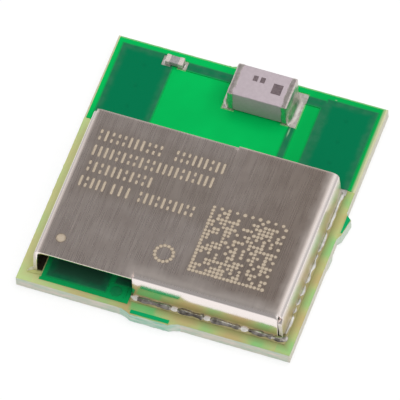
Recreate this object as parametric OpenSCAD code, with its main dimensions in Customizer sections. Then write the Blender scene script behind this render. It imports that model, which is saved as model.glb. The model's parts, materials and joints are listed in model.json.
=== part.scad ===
// Surface-mount radio module: a small board with a chip antenna and a folded shield can over its radio parts.
// Origin: board centre, on the solder face. +X along the front edge, +Y to the antenna, +Z up. Millimetres.

/* [Board] */
// Width of the board, along X
board_w = 9.1; // [8.9:0.1:12]
// Length of the board, along Y
board_l = 9.6; // [9.4:0.1:12]
// Thickness of the bare laminate
laminate_t = 0.43; // [0.3:0.01:1]
// Thickness of every copper foil and land
copper_t = 0.03; // [0.02:0.005:0.05]
// Thickness of the solder mask
mask_t = 0.02; // [0.01:0.005:0.04]
// Set-back of the solder mask from the board's edge
mask_setback = 0.07; // [0.03:0.01:0.12]
// Set-back of the solder mask from the front edge, in the shield's opening
opening_mask_setback = 0.19; // [0.08:0.01:0.2]
// Clearance of the solder mask around a bare land
mask_clear = 0.04; // [0.03:0.01:0.08]
// Diameter of a plated via hole
via_d = 0.2; // [0.15:0.01:0.3]
// Plating thickness inside a via
via_wall = 0.025; // [0.015:0.005:0.04]
// Number of vias in a column
via_count = 3; // [2:1:3]
// Distance between vias of a column
via_pitch = 0.82; // [0.6:0.01:1]

/* [Break-off tabs] */
// Radius that the router left beside each tab
tab_blend_r = 1.2; // [0.8:0.1:2]
// Width of the broken face of the front tab
front_tab_w = 1.28; // [0.8:0.02:2]
// Place of the front tab along X
front_tab_x = -0.07; // [-0.6:0.01:0.6]
// How far the front tab stands out
front_tab_proud = 0.15; // [0.1:0.01:0.4]
// Length of the mask left on the front tab
front_patch_l = 0.13; // [0.08:0.01:0.2]
// Distance of that mask from the tab's broken face
front_patch_setback = 0.06; // [0.03:0.01:0.1]
// Width of the broken face of the back tab
back_tab_w = 1.4; // [0.8:0.02:2]
// Place of the back tab along X
back_tab_x = 0.2; // [-0.6:0.01:0.8]
// How far the back tab stands out
back_tab_proud = 0.1; // [0.06:0.01:0.4]
// Width of the right tab before its slanted break
right_tab_w = 0.55; // [0.4:0.05:1.2]
// Place of the right tab along Y
right_tab_y = 0.24; // [0:0.01:0.6]
// How far the right tab stands out at its far corner
right_tab_proud = 0.23; // [0.2:0.01:0.4]
// Slant of the right tab's break
right_tab_slant = 10; // [0:1:12]
// Radius beside the right tab, which tore back to the routed line
right_tab_blend_r = 0.5; // [0.45:0.05:1]
// Length of the mask left on the right tab
right_patch_l = 0.72; // [0.4:0.02:0.8]
// Place of the mask left on the right tab, along Y
right_patch_y = 0.32; // [0.1:0.01:0.5]
// Width of the splinter beside the right tab
splinter_w = 0.3; // [0.2:0.02:0.5]
// Place of the splinter along Y
splinter_y = -0.99; // [-1.5:0.01:-0.8]
// How far the splinter stands out
splinter_proud = 0.08; // [0.05:0.01:0.15]
// Width of the broken face of the left tab
left_tab_w = 0.9; // [0.6:0.02:1.4]
// Place of the left tab along Y
left_tab_y = -0.9; // [-1.5:0.01:1]
// How far the left tab stands out
left_tab_proud = 0.02; // [0.02:0.01:0.2]

/* [Antenna ground] */
// Set-back of the ground pours from the board's edge
pour_setback = 0.25; // [0.15:0.01:0.3]
// Width of each ground pour
pour_w = 1.8; // [1.6:0.05:2]
// Distance of the first via from the pour's back edge
via_first = 0.63; // [0.4:0.01:0.7]
// Width of the tail and link traces
trace_w = 0.3; // [0.15:0.01:0.34]
// Width of the feed trace
feed_w = 0.2; // [0.12:0.01:0.3]

/* [Chip antenna] */
// Length of the antenna, along X
antenna_l = 2; // [1.8:0.02:2.2]
// Width of the antenna, along Y
antenna_w = 1.2; // [0.8:0.02:1.3]
// Height of the antenna
antenna_h = 0.95; // [0.5:0.01:1.2]
// Place of the antenna's middle along X
antenna_x = 0.68; // [0.4:0.01:0.8]
// Distance of the antenna's back side from the board's edge
antenna_setback = 0.39; // [0.25:0.01:0.6]
// Width of an end terminal on the antenna's top
antenna_band = 0.18; // [0.1:0.01:0.3]
// Plating thickness of the antenna's terminals
antenna_plate = 0.015; // [0.01:0.005:0.03]
// How far the right antenna land reaches past the antenna's end
antenna_toe = 0.28; // [0.2:0.01:0.35]
// How far the left antenna land reaches past the antenna's end
antenna_left_toe = 0.18; // [0.15:0.01:0.35]
// How far an antenna land reaches past the antenna's back side
antenna_heel = 0.1; // [0.05:0.01:0.15]
// Width of the small patches on the antenna's top
small_patch_w = 0.15; // [0.1:0.01:0.2]
// Length of the small patches on the antenna's top
small_patch_l = 0.2; // [0.1:0.01:0.3]
// Place of the small patches behind the antenna's middle
small_patch_y = 0.19; // [0:0.01:0.25]
// Place of the middle of the small pair from the antenna's middle
small_patch_x = -0.17; // [-0.3:0.01:0]
// Distance between the small patches
small_patch_pitch = 0.24; // [0.22:0.01:0.3]
// Width of the large patch on the antenna's top
large_patch_w = 0.32; // [0.2:0.01:0.4]
// Length of the large patch on the antenna's top
large_patch_l = 0.38; // [0.2:0.01:0.5]
// Place of the large patch from the antenna's middle
large_patch_x = 0.49; // [0.4:0.01:0.55]
// Thickness of the patches on the antenna's top
patch_t = 0.01; // [0.005:0.005:0.02]

/* [Matching capacitor] */
// Length of the matching capacitor
matching_l = 0.6; // [0.5:0.01:0.7]
// Width of the matching capacitor
matching_w = 0.3; // [0.2:0.01:0.32]
// Height of the matching capacitor
matching_h = 0.21; // [0.15:0.01:0.4]
// Length of the matching capacitor's terminals
matching_band = 0.15; // [0.1:0.01:0.2]
// Distance of the matching capacitor's middle from the board's left edge
matching_inset = 2.08; // [2:0.01:2.2]

/* [Shield can] */
// Width of the shield can, along X
shield_w = 8.2; // [8:0.02:8.3]
// Length of the shield can, along Y
shield_l = 5.6; // [5.5:0.02:5.7]
// Height of the shield can
shield_h = 1.17; // [1:0.01:2]
// Thickness of the shield's sheet
shield_t = 0.12; // [0.08:0.01:0.15]
// Outer radius of the shield's bends
shield_bend_r = 0.25; // [0.2:0.01:0.35]
// Distance of the shield's front wall from the board's front edge
shield_setback = 0.5; // [0.4:0.01:0.6]
// Length of the front and back walls
end_wall_w = 4.75; // [4:0.05:6]
// Gap between an end wall and the corner's outer face
corner_gap = 0.2; // [0.18:0.01:0.3]
// Width of the slit that frees an end wall from the top sheet
relief_w = 0.05; // [0.03:0.01:0.1]
// Depth of the cut that frees a bend at the corner
relief_depth = 0.14; // [0.1:0.01:0.2]
// How far the shield's land reaches out from the wall
shield_toe = 0.17; // [0.14:0.01:0.2]
// How far the shield's land reaches in from the wall
shield_heel = 0.14; // [0.1:0.01:0.2]

/* [Solder] */
// Thickness of the solder under every foot and terminal
solder_t = 0.02; // [0.01:0.005:0.04]
// Height of the solder fillet on the shield's walls
shield_fillet_h = 0.16; // [0.1:0.01:0.3]
// Reach of the solder fillet from the shield's walls
shield_fillet_w = 0.14; // [0.08:0.01:0.14]
// Height of the solder fillet on the antenna's ends
antenna_fillet_h = 0.4; // [0.1:0.01:0.45]
// Reach of the solder fillet on small parts
chip_fillet_w = 0.07; // [0.04:0.01:0.08]
// Edge thickness at which every fillet runs out
fillet_edge = 0.01; // [0.005:0.005:0.02]

/* [Parts under the shield] */
// Side of the square radio chip
radio_side = 3.2; // [3:0.05:3.3]
// Thickness of the radio chip
radio_t = 0.4; // [0.2:0.01:0.5]
// Place of the radio chip from the shield's middle, along X
radio_x = 0.9; // [0.85:0.01:1]
// Place of the radio chip from the shield's middle, along Y
radio_y = -0.85; // [-0.9:0.01:-0.8]
// Solder balls along each side of the radio chip
ball_count = 7; // [4:1:7]
// Distance between solder balls
ball_pitch = 0.4; // [0.35:0.01:0.42]
// Diameter of a solder ball
ball_d = 0.26; // [0.22:0.01:0.3]
// Height that the balls hold the radio chip at
ball_standoff = 0.18; // [0.12:0.01:0.2]
// Margin of a ball's land around its contact
ball_land_margin = 0.02; // [0.01:0.005:0.03]
// Length of the crystal's base
crystal_l = 2; // [1.8:0.02:2.1]
// Width of the crystal's base
crystal_w = 1.6; // [1.4:0.02:1.7]
// Height of the crystal's base
crystal_h = 0.35; // [0.32:0.01:0.5]
// Wall and floor thickness of the crystal's base
crystal_wall = 0.18; // [0.1:0.01:0.2]
// Thickness of the crystal's lid
crystal_lid_t = 0.08; // [0.05:0.01:0.12]
// Set-back of the crystal's lid from the base's sides
crystal_lid_setback = 0.07; // [0.03:0.01:0.1]
// Length of the crystal's corner lands
crystal_land_l = 0.6; // [0.4:0.02:0.7]
// Width of the crystal's corner lands
crystal_land_w = 0.5; // [0.3:0.02:0.6]
// Length of the quartz blank
blank_l = 1.3; // [1:0.02:1.4]
// Width of the quartz blank
blank_w = 0.9; // [0.7:0.02:1]
// Thickness of the quartz blank
blank_t = 0.05; // [0.03:0.01:0.08]
// Diameter of the adhesive dots under the quartz blank
adhesive_d = 0.26; // [0.15:0.01:0.35]
// Thickness of the adhesive dots
adhesive_t = 0.04; // [0.02:0.01:0.06]
// Place of the crystal from the shield's middle, along X
crystal_x = -2.45; // [-2.55:0.01:-2.3]
// Place of the crystal from the shield's middle, along Y
crystal_y = -0.75; // [-0.9:0.01:-0.7]
// Length of the band filter, along Y
filter_l = 1.6; // [1.5:0.02:1.64]
// Width of the band filter
filter_w = 0.8; // [0.7:0.02:1]
// Height of the band filter
filter_h = 0.6; // [0.4:0.01:0.8]
// Length of the band filter's end terminals
filter_band = 0.4; // [0.2:0.01:0.5]
// Length of the band filter's side terminals
filter_side_band = 0.35; // [0.2:0.01:0.5]
// How far the band filter's side terminals reach under it
filter_side_lip = 0.2; // [0.1:0.01:0.3]
// Place of the band filter from the shield's middle, along Y
filter_y = 1.75; // [1.72:0.01:1.78]
// Length of a supply capacitor, along Y
supply_l = 1; // [0.9:0.02:1.1]
// Width of a supply capacitor
supply_w = 0.5; // [0.4:0.01:0.55]
// Height of a supply capacitor
supply_h = 0.5; // [0.3:0.01:0.6]
// Length of a supply capacitor's terminals
supply_band = 0.25; // [0.15:0.01:0.35]
// Number of supply capacitors
supply_count = 4; // [1:1:4]
// Distance between supply capacitors
supply_pitch = 0.7; // [0.6:0.01:0.75]
// Place of the first supply capacitor from the shield's middle, along X
supply_x = -3.2; // [-3.4:0.01:-3.15]
// Place of the supply capacitors from the shield's middle, along Y
supply_y = 0.95; // [0.9:0.01:1]
// Length of a bypass capacitor, along Y
bypass_l = 0.6; // [0.5:0.01:0.65]
// Width of a bypass capacitor
bypass_w = 0.3; // [0.2:0.01:0.35]
// Height of a bypass capacitor
bypass_h = 0.3; // [0.2:0.01:0.4]
// Length of a bypass capacitor's terminals
bypass_band = 0.15; // [0.1:0.01:0.2]
// Number of bypass capacitors
bypass_count = 7; // [1:1:7]
// Distance between bypass capacitors
bypass_pitch = 0.5; // [0.42:0.01:0.55]
// Place of the first bypass capacitor from the shield's middle, along X
bypass_x = -3.2; // [-3.4:0.01:-3.1]
// Place of the bypass capacitors from the shield's middle, along Y
bypass_y = 1.93; // [1.91:0.01:1.97]
// Length of a resistor, along X
resistor_l = 0.6; // [0.5:0.01:0.65]
// Width of a resistor
resistor_w = 0.3; // [0.2:0.01:0.35]
// Height of a resistor
resistor_h = 0.2; // [0.15:0.01:0.3]
// Length of a resistor's terminals
resistor_band = 0.15; // [0.1:0.01:0.2]
// Number of resistors
resistor_count = 4; // [1:1:4]
// Distance between resistors
resistor_pitch = 0.5; // [0.42:0.01:0.6]
// Place of the resistors from the shield's middle, along X
resistor_x = 3.18; // [3.1:0.01:3.25]
// Place of the first resistor from the shield's middle, along Y
resistor_y = -1.8; // [-1.9:0.01:-1.6]
// Thickness of a resistor's dark film
resistor_film_t = 0.03; // [0.01:0.01:0.05]
// Plating thickness of small terminals
chip_plate = 0.012; // [0.008:0.002:0.02]
// Gap between the inner ground foil and any land
foil_gap = 0.2; // [0.12:0.01:0.22]
// Radius of the round test land in the shield's front opening
test_land_r = 0.16; // [0.1:0.01:0.18]

/* [Solder lands] */
// Length of a solder land, from the edge inwards
land_l = 0.7; // [0.5:0.02:0.8]
// Width of a solder land
land_w = 0.5; // [0.3:0.02:0.6]
// Distance between solder lands
land_pitch = 1; // [0.8:0.02:1.05]
// Set-back of the solder lands from the board's edge
land_setback = 0.3; // [0.2:0.02:0.4]
// Lands along the front row and the back row
land_row = 8; // [4:1:8]
// Lands along each side
land_column = 4; // [2:1:4]
// Length of the board's section that the land ring covers
land_section_l = 6.5; // [6:0.1:6.8]
// Side of the square corner lands under the antenna ground
corner_land = 0.8; // [0.5:0.02:0.9]

/* [Hidden] */
$fn = 48;
nudge = 0.05;

// Heights of the layers, from the solder face up
z_land = mask_t;
z_laminate = mask_t + copper_t;
z_top = z_laminate + laminate_t;
z_foil = z_top + copper_t;
z_seat = z_foil + solder_t;

// Board and shield edges
half_w = board_w/2;
half_l = board_l/2;
shield_x = shield_w/2;
shield_front = shield_setback - half_l;
shield_back = shield_front + shield_l;
shield_y = shield_front + shield_l/2;
end_wall_x1 = shield_x - corner_gap;
end_wall_x0 = end_wall_x1 - end_wall_w;
strip_in = shield_t + shield_heel;

// Antenna side of the board
antenna_y = half_l - antenna_setback - antenna_w/2;
antenna_x0 = antenna_x - antenna_l/2;
antenna_x1 = antenna_x + antenna_l/2;
land_y0 = antenna_y - antenna_w/2;
land_y1 = antenna_y + antenna_w/2 + antenna_heel;
trace_y = land_y1 - trace_w/2 - mask_clear;
feed_x = antenna_x1 + antenna_toe - feed_w/2;
pour_x = half_w - pour_setback - pour_w;
pour_y = half_l - pour_setback;
via_x = half_w - pour_setback - pour_w/2;
via_rows = [for (i = [0:via_count - 1]) pour_y - via_first - i*via_pitch];
matching_x = matching_inset - half_w;
chip_toe = chip_fillet_w + fillet_edge;

// Length, width, height and terminal length of each two-ended part
antenna_size = [antenna_l, antenna_w, antenna_h, antenna_band];
matching_size = [matching_l, matching_w, matching_h, matching_band];
filter_size = [filter_l, filter_w, filter_h, filter_band];
supply_size = [supply_l, supply_w, supply_h, supply_band];
bypass_size = [bypass_l, bypass_w, bypass_h, bypass_band];
resistor_size = [resistor_l, resistor_w, resistor_h, resistor_band];

// A rectangle is [x0, y0, x1, y1]
function rect_about(x, y, w, l) = [x - w/2, y - l/2, x + w/2, y + l/2];
function rect_half_turn(r) = [-r[2], 2*shield_y - r[3], -r[0], 2*shield_y - r[1]];

// Lands of a two-ended part that lies along X: both ends, then the whole footprint
function end_lands(x, y, size) = let (out = size[0]/2 + chip_toe, in = size[0]/2 - size[3], w = size[1]/2)
    [[x - out, y - w, x - in, y + w], [x + in, y - w, x + out, y + w]];
function footprint(x, y, size) = rect_about(x, y, size[0] + 2*chip_toe, size[1]);
// The same for a part that lies along Y
function end_lands_y(x, y, size) = [for (r = end_lands(y, -x, size)) [-r[3], r[0], -r[1], r[2]]];
function footprint_y(x, y, size) = rect_about(x, y, size[1], size[0] + 2*chip_toe);

// Places of the parts under the shield
supply_places = [for (i = [0:supply_count - 1]) [supply_x + i*supply_pitch, shield_y + supply_y]];
bypass_places = [for (i = [0:bypass_count - 1]) [bypass_x + i*bypass_pitch, shield_y + bypass_y]];
resistor_places = [for (i = [0:resistor_count - 1]) [resistor_x, shield_y + resistor_y + i*resistor_pitch]];
radio_place = [radio_x, shield_y + radio_y];
crystal_place = [crystal_x, shield_y + crystal_y];
filter_place = [feed_x, shield_y + filter_y];
ball_steps = [for (i = [0:ball_count - 1]) (i - (ball_count - 1)/2)*ball_pitch];
ball_places = [for (x = ball_steps, y = ball_steps) radio_place + [x, y]];
ball_land_r = sqrt(pow(ball_d/2, 2) - pow(ball_standoff/2, 2)) + ball_land_margin;

// Copper outlines on the top face, as rectangles
right_strip = [
    shield_x - strip_in, shield_front - shield_toe,
    shield_x + shield_toe, shield_back + shield_toe
];
front_strip = [end_wall_x0, shield_front - shield_toe, shield_x, shield_front + strip_in];
left_strip = rect_half_turn(right_strip);
back_strip = rect_half_turn(front_strip);
left_antenna_land = [antenna_x0 - antenna_left_toe, land_y0, antenna_x0 + antenna_band, land_y1];
right_antenna_land = [antenna_x1 - antenna_band, land_y0, antenna_x1 + antenna_toe, land_y1];
matching_lands = end_lands(matching_x, trace_y, matching_size);
filter_lands = end_lands_y(filter_place[0], filter_place[1], filter_size);
left_foil_rects = [left_strip, back_strip, [pour_setback - half_w, shield_back, -pour_x, pour_y]];
feed_rect = [feed_x - feed_w/2, filter_lands[1][1], feed_x + feed_w/2, land_y0 + nudge];
right_foil_rects = [
    right_strip, front_strip, [pour_x, shield_back, half_w - pour_setback, pour_y], right_antenna_land,
    [antenna_x1, trace_y - trace_w/2, pour_x + nudge, trace_y + trace_w/2], feed_rect, filter_lands[1]
];
tail_foil_rects = [
    matching_lands[1], left_antenna_land,
    [matching_lands[1][0], trace_y - trace_w/2, antenna_x0, trace_y + trace_w/2]
];

// The inner foil keeps clear of each group of lands
test_window = 4*test_land_r;
test_land_x = end_wall_x0 - foil_gap - test_window/2;
test_land_y = shield_front;
opening_foil_y = shield_front - shield_toe + mask_clear;
inner_foil_rects = [
    [strip_in + foil_gap - shield_x, shield_front + strip_in + foil_gap,
        shield_x - strip_in - foil_gap, shield_back - strip_in - foil_gap],
    [strip_in + foil_gap - shield_x, opening_foil_y,
        end_wall_x0 - foil_gap, shield_front + strip_in + 2*foil_gap]
];
radio_window = rect_about(radio_place[0], radio_place[1], ball_count*ball_pitch, ball_count*ball_pitch);
crystal_window = rect_about(crystal_place[0], crystal_place[1], crystal_l, crystal_w);
filter_window = rect_about(filter_place[0], filter_place[1], filter_w, filter_l + 2*chip_toe);
part_windows = concat(
    [radio_window, crystal_window, filter_window],
    [for (p = supply_places) footprint_y(p[0], p[1], supply_size)],
    [for (p = bypass_places) footprint_y(p[0], p[1], bypass_size)],
    [for (p = resistor_places) footprint(p[0], p[1], resistor_size)]
);

// Bare places in the top mask
mask_windows = concat(
    [left_strip, back_strip, right_strip, front_strip, left_antenna_land, right_antenna_land],
    matching_lands, part_windows
);

// Lands on the solder face
land_front = land_setback + land_l/2 - half_l;
land_back = land_section_l - half_l - land_setback - land_l/2;
land_side = half_w - land_setback - land_l/2;
land_mid = (land_front + land_back)/2;
land_rects = concat(
    [for (y = [land_front, land_back], i = [0:land_row - 1])
        rect_about((i - (land_row - 1)/2)*land_pitch, y, land_w, land_l)],
    [for (x = [-land_side, land_side], i = [0:land_column - 1])
        rect_about(x, land_mid + (i - (land_column - 1)/2)*land_pitch, land_l, land_w)]
);
corner_land_rects = [for (x = [-via_x, via_x], i = [0, via_count - 1])
    rect_about(x, via_rows[i], corner_land, corner_land)];
bottom_foil_w = 2*(land_side - land_l/2 - foil_gap);
bottom_foil_l = land_back - land_front - land_l - 2*foil_gap;

module rects(list, grow = 0) {
    for (r = list)
        translate([r[0] - grow, r[1] - grow])
            square([r[2] - r[0] + 2*grow, r[3] - r[1] + 2*grow]);
}

module layer(z, t) {
    translate([0, 0, z])
        linear_extrude(t)
            children();
}

// Stub of a break-off tab on the edge y = 0, standing out along +Y, with the router's round cuts beside it
module tab_stub(w, proud, r = tab_blend_r) {
    dip = 0.01;
    reach = w/2 + sqrt(pow(r, 2) - pow(r - proud - dip, 2));
    difference() {
        translate([-reach, -nudge])
            square([2*reach, proud + nudge]);
        for (side = [-1, 1])
            translate([side*reach, r - dip])
                circle(r);
    }
}

// Right tab in its place, with the slanted break
module right_tab() {
    translate([half_w, right_tab_y])
        rotate(-90)
            difference() {
                tab_stub(right_tab_w, right_tab_proud, right_tab_blend_r);
                translate([-right_tab_w/2, right_tab_proud])
                    rotate(-right_tab_slant)
                        square([right_tab_w + 2*right_tab_blend_r, right_tab_proud]);
            }
}

// Splinter of the lower glass layers, left beside the right tab
module right_splinter() {
    translate([half_w, splinter_y])
        rotate(-90)
            tab_stub(splinter_w, splinter_proud, right_tab_blend_r/2);
}

module front_tab() {
    translate([front_tab_x, -half_l])
        rotate(180)
            tab_stub(front_tab_w, front_tab_proud);
}

module board_outline() {
    rects([rect_about(0, 0, board_w, board_l)]);
    front_tab();
    right_tab();
    translate([back_tab_x, half_l])
        tab_stub(back_tab_w, back_tab_proud);
    translate([-half_w, left_tab_y])
        rotate(90)
            tab_stub(left_tab_w, left_tab_proud);
}

module at_vias() {
    for (x = [-via_x, via_x], y = via_rows)
        translate([x, y])
            children();
}

// Solder under a foot and up its outer side: the foot ends at y = 0 and reaches back by under
module fillet_outline(under, reach, rise) {
    polygon([
        [-under, 0], [reach, 0], [reach, fillet_edge], [fillet_edge, rise],
        [0, rise], [0, solder_t], [-under, solder_t]
    ]);
}

// Bar of that outline, from x0 to x1, facing -Y
module fillet_bar(x0, x1, under, reach, rise) {
    translate([x0, 0, 0])
        rotate([90, 0, 90])
            linear_extrude(x1 - x0)
                mirror([1, 0])
                    fillet_outline(under, reach, rise);
}

// Core of a two-ended part that lies along X on z = 0, inside its plating
module chip_core(size, plate) {
    translate([plate - size[0]/2, plate - size[1]/2, plate])
        cube([size[0] - 2*plate, size[1] - 2*plate, size[2] - 2*plate]);
}

// Plated caps at both ends of that core
module chip_caps(size, plate) {
    difference() {
        for (side = [-1, 1])
            translate([side*(size[0] - size[3])/2, 0, size[2]/2])
                cube([size[3], size[1], size[2]], center = true);
        chip_core(size, plate);
    }
}

// Solder at both ends, from the land up to the caps, with the reach at the left end and at the right
module chip_joints(size, reach, rise) {
    for (i = [0, 1])
        rotate(180*i - 90)
            translate([0, -size[0]/2, 0])
                fillet_bar(-size[1]/2, size[1]/2, size[3], reach[i], rise);
}

module at_places(places, z, turn = 0) {
    for (p = places)
        translate([p[0], p[1], z])
            rotate(turn)
                children();
}

// One half of the shield: the channel up to the middle, with its end wall folded down at the front
module shield_half() {
    half = shield_l/2;
    relief_z = shield_h - shield_bend_r - relief_w;
    difference() {
        rotate([90, 0, 0])
            linear_extrude(half)
                difference() {
                    channel_outline(shield_w, shield_h, shield_bend_r);
                    translate([0, -nudge])
                        channel_outline(shield_w - 2*shield_t, shield_h - shield_t + nudge,
                            shield_bend_r - shield_t);
                }
        translate([end_wall_x0 - relief_w, -half - nudge, relief_z])
            cube([end_wall_w + relief_w, shield_bend_r + nudge, shield_h]);
        translate([end_wall_x0 - relief_w, -half - nudge, relief_z])
            cube([relief_w, shield_bend_r + relief_w + nudge, shield_h]);
        translate([end_wall_x1 - nudge, -half - nudge, relief_z])
            cube([corner_gap + 2*nudge, relief_depth + nudge, shield_h]);
    }
    translate([end_wall_x0, -half, 0])
        rotate([90, 0, 90])
            linear_extrude(end_wall_w)
                end_wall_outline();
}

// Cross-section of an open channel with two round upper corners
module channel_outline(w, h, r) {
    translate([-w/2, 0])
        square([w, h - r]);
    translate([r - w/2, 0])
        square([w - 2*r, h]);
    for (side = [-1, 1])
        translate([side*(w/2 - r), h - r])
            circle(r);
}

// Cross-section of the end wall and its bend: outer face on y = 0
module end_wall_outline() {
    r = shield_bend_r;
    difference() {
        union() {
            square([r, shield_h - r]);
            intersection() {
                translate([r, shield_h - r])
                    circle(r);
                translate([0, shield_h - r - nudge])
                    square([r, r + 2*nudge]);
            }
        }
        translate([shield_t, -nudge])
            square([r, shield_h - r + nudge]);
        translate([r, shield_h - r])
            circle(r - shield_t);
    }
}

module at_shield(z, turn = 0) {
    translate([0, shield_y, z])
        rotate(turn)
            children();
}

module laminate() {
    color("#b3c084") {
        layer(z_laminate, laminate_t)
            difference() {
                board_outline();
                at_vias()
                    circle(d = via_d);
            }
        layer(z_laminate, laminate_t/2)
            right_splinter();
    }
}

module left_ground_foil() {
    color("#b87333")
        layer(z_top, copper_t)
            rects(left_foil_rects);
}

module right_ground_foil() {
    color("#b87333")
        layer(z_top, copper_t)
            rects(right_foil_rects);
}

module tail_foil() {
    color("#b87333")
        layer(z_top, copper_t)
            rects(tail_foil_rects);
}

module inner_foil_outline(grow = 0) {
    difference() {
        rects(inner_foil_rects, grow);
        rects(part_windows, foil_gap - grow);
        rects([rect_about(test_land_x, test_land_y, test_window, test_window)], -grow);
        rects([feed_rect], foil_gap - grow);
    }
}

module inner_ground_foil() {
    color("#b87333")
        layer(z_top, copper_t)
            inner_foil_outline();
}

module test_land() {
    color("#b87333")
        layer(z_top, copper_t)
            translate([test_land_x, test_land_y])
                circle(test_land_r);
}

module component_lands() {
    color("#c9a24a")
        layer(z_top, copper_t) {
            for (p = supply_places)
                rects(end_lands_y(p[0], p[1], supply_size));
            for (p = bypass_places)
                rects(end_lands_y(p[0], p[1], bypass_size));
            for (p = resistor_places)
                rects(end_lands(p[0], p[1], resistor_size));
            rects([filter_lands[0]]);
            filter_side_lands();
            crystal_lands();
            for (p = ball_places)
                translate(p)
                    circle(ball_land_r);
        }
}

module filter_side_lands() {
    for (side = [-1, 1])
        rects([rect_about(filter_place[0] + side*(filter_w - filter_side_lip)/2, filter_place[1],
            filter_side_lip, filter_side_band)]);
}

module crystal_lands() {
    for (sx = [-1, 1], sy = [-1, 1])
        rects([rect_about(crystal_place[0] + sx*(crystal_l - crystal_land_l)/2,
            crystal_place[1] + sy*(crystal_w - crystal_land_w)/2, crystal_land_l, crystal_land_w)]);
}

module via_barrels() {
    color("#b87333")
        layer(z_laminate, laminate_t)
            at_vias()
                difference() {
                    circle(d = via_d);
                    circle(d = via_d - 2*via_wall);
                }
}

// Everything that the top mask covers, before its bare windows
module mask_outline() {
    edge_x = half_w - mask_setback;
    inner_x = shield_x - strip_in;
    back = shield_back + shield_toe + mask_clear;
    rects([
        [-edge_x, back, edge_x, half_l - mask_setback],
        [-inner_x, shield_front + strip_in, inner_x, back + nudge],
        [-inner_x, opening_mask_setback - half_l, end_wall_x0 - mask_clear, shield_front + strip_in + nudge]
    ]);
}

// Mask left on the tab stubs
module tab_mask_outline() {
    translate([front_tab_x, front_patch_setback + front_patch_l/2 - half_l - front_tab_proud])
        square([front_tab_w, front_patch_l], center = true);
    intersection() {
        translate([-mask_clear, 0])
            right_tab();
        rects([[half_w + mask_clear, right_patch_y - right_patch_l/2, half_w + right_tab_proud,
            right_patch_y + right_patch_l/2]]);
    }
}

module top_foils(grow) {
    rects(left_foil_rects, grow);
    rects(right_foil_rects, grow);
    rects(tail_foil_rects, grow);
    inner_foil_outline(grow);
    translate([test_land_x, test_land_y])
        circle(test_land_r + grow);
}

module top_solder_mask() {
    color("#00b356")
        difference() {
            union() {
                layer(z_top, mask_t) {
                    mask_outline();
                    tab_mask_outline();
                }
                layer(z_top, copper_t + mask_t)
                    intersection() {
                        mask_outline();
                        top_foils(mask_t);
                    }
            }
            layer(z_top - nudge, copper_t + nudge)
                top_foils(0);
            layer(z_top - nudge, copper_t + mask_t + 2*nudge)
                rects(mask_windows, mask_clear);
        }
}

module bottom_ground_foil() {
    color("#b87333")
        layer(z_land, copper_t)
            rects([rect_about(0, land_mid, bottom_foil_w, bottom_foil_l)]);
}

module solder_lands() {
    color("#d8b65c")
        layer(z_land, copper_t)
            rects(land_rects);
}

module corner_lands() {
    color("#d8b65c")
        layer(z_land, copper_t)
            rects(corner_land_rects);
}

module bottom_solder_mask() {
    color("#00a04c")
        difference() {
            layer(0, z_laminate)
                rects([rect_about(0, 0, board_w - 2*mask_setback, board_l - 2*mask_setback)]);
            layer(z_land, copper_t + nudge)
                rects([rect_about(0, land_mid, bottom_foil_w, bottom_foil_l)]);
            layer(-nudge, z_laminate + 2*nudge)
                rects(concat(land_rects, corner_land_rects), mask_clear);
        }
}

module at_antenna(z = 0) {
    translate([antenna_x, antenna_y, z_seat + z])
        children();
}

module antenna_body() {
    color("#c5b8bf")
        at_antenna()
            chip_core(antenna_size, antenna_plate);
}

module antenna_terminals() {
    color("#d8d8d4")
        at_antenna()
            chip_caps(antenna_size, antenna_plate);
}

// Two small patches and a large one, printed on the ceramic
module antenna_patches() {
    color("#6b5d60")
        at_antenna(antenna_h - antenna_plate) {
            for (side = [-1, 1])
                translate([small_patch_x + side*small_patch_pitch/2, small_patch_y, patch_t/2])
                    cube([small_patch_w, small_patch_l, patch_t], center = true);
            translate([large_patch_x, 0, patch_t/2])
                cube([large_patch_w, large_patch_l, patch_t], center = true);
        }
}

module antenna_solder() {
    color("#cfd0cc")
        translate([0, 0, -solder_t])
            at_antenna()
                chip_joints(antenna_size, [antenna_left_toe - mask_clear, antenna_toe - mask_clear],
                    antenna_fillet_h);
}

module at_matching(z) {
    translate([matching_x, trace_y, z])
        children();
}

module matching_capacitor_body() {
    color("#9a938c")
        at_matching(z_seat)
            chip_core(matching_size, chip_plate);
}

module matching_capacitor_terminals() {
    color("#d8d8d4")
        at_matching(z_seat)
            chip_caps(matching_size, chip_plate);
}

module matching_capacitor_solder() {
    color("#cfd0cc")
        at_matching(z_foil)
            small_joints(matching_size);
}

module small_joints(size) {
    chip_joints(size, [chip_fillet_w, chip_fillet_w], solder_t + size[2]/2);
}

module shield_can() {
    color("#a39a94")
        at_shield(z_seat)
            for (turn = [0, 180])
                rotate(turn)
                    shield_half();
}

module end_wall_solder() {
    translate([0, -shield_l/2, 0])
        fillet_bar(end_wall_x0, end_wall_x1, shield_t, shield_fillet_w, shield_fillet_h);
}

module side_wall_solder() {
    rotate(90)
        translate([0, -shield_w/2, 0])
            fillet_bar(-shield_l/2, shield_l/2, shield_t, shield_fillet_w, shield_fillet_h);
}

module shield_solder_front() {
    color("#cfd0cc")
        at_shield(z_foil)
            end_wall_solder();
}

module shield_solder_right() {
    color("#cfd0cc")
        at_shield(z_foil)
            side_wall_solder();
}

module shield_solder_back() {
    color("#cfd0cc")
        at_shield(z_foil, 180)
            end_wall_solder();
}

module shield_solder_left() {
    color("#cfd0cc")
        at_shield(z_foil, 180)
            side_wall_solder();
}

module radio_chip() {
    color("#2c2e33")
        at_places([radio_place], z_foil + ball_standoff)
            translate([-radio_side/2, -radio_side/2, 0])
                cube([radio_side, radio_side, radio_t]);
}

module radio_chip_balls() {
    color("#cfd0cc")
        at_places(ball_places, z_foil + ball_standoff/2)
            intersection() {
                sphere(d = ball_d);
                cube([ball_d + nudge, ball_d + nudge, ball_standoff], center = true);
            }
}

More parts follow.
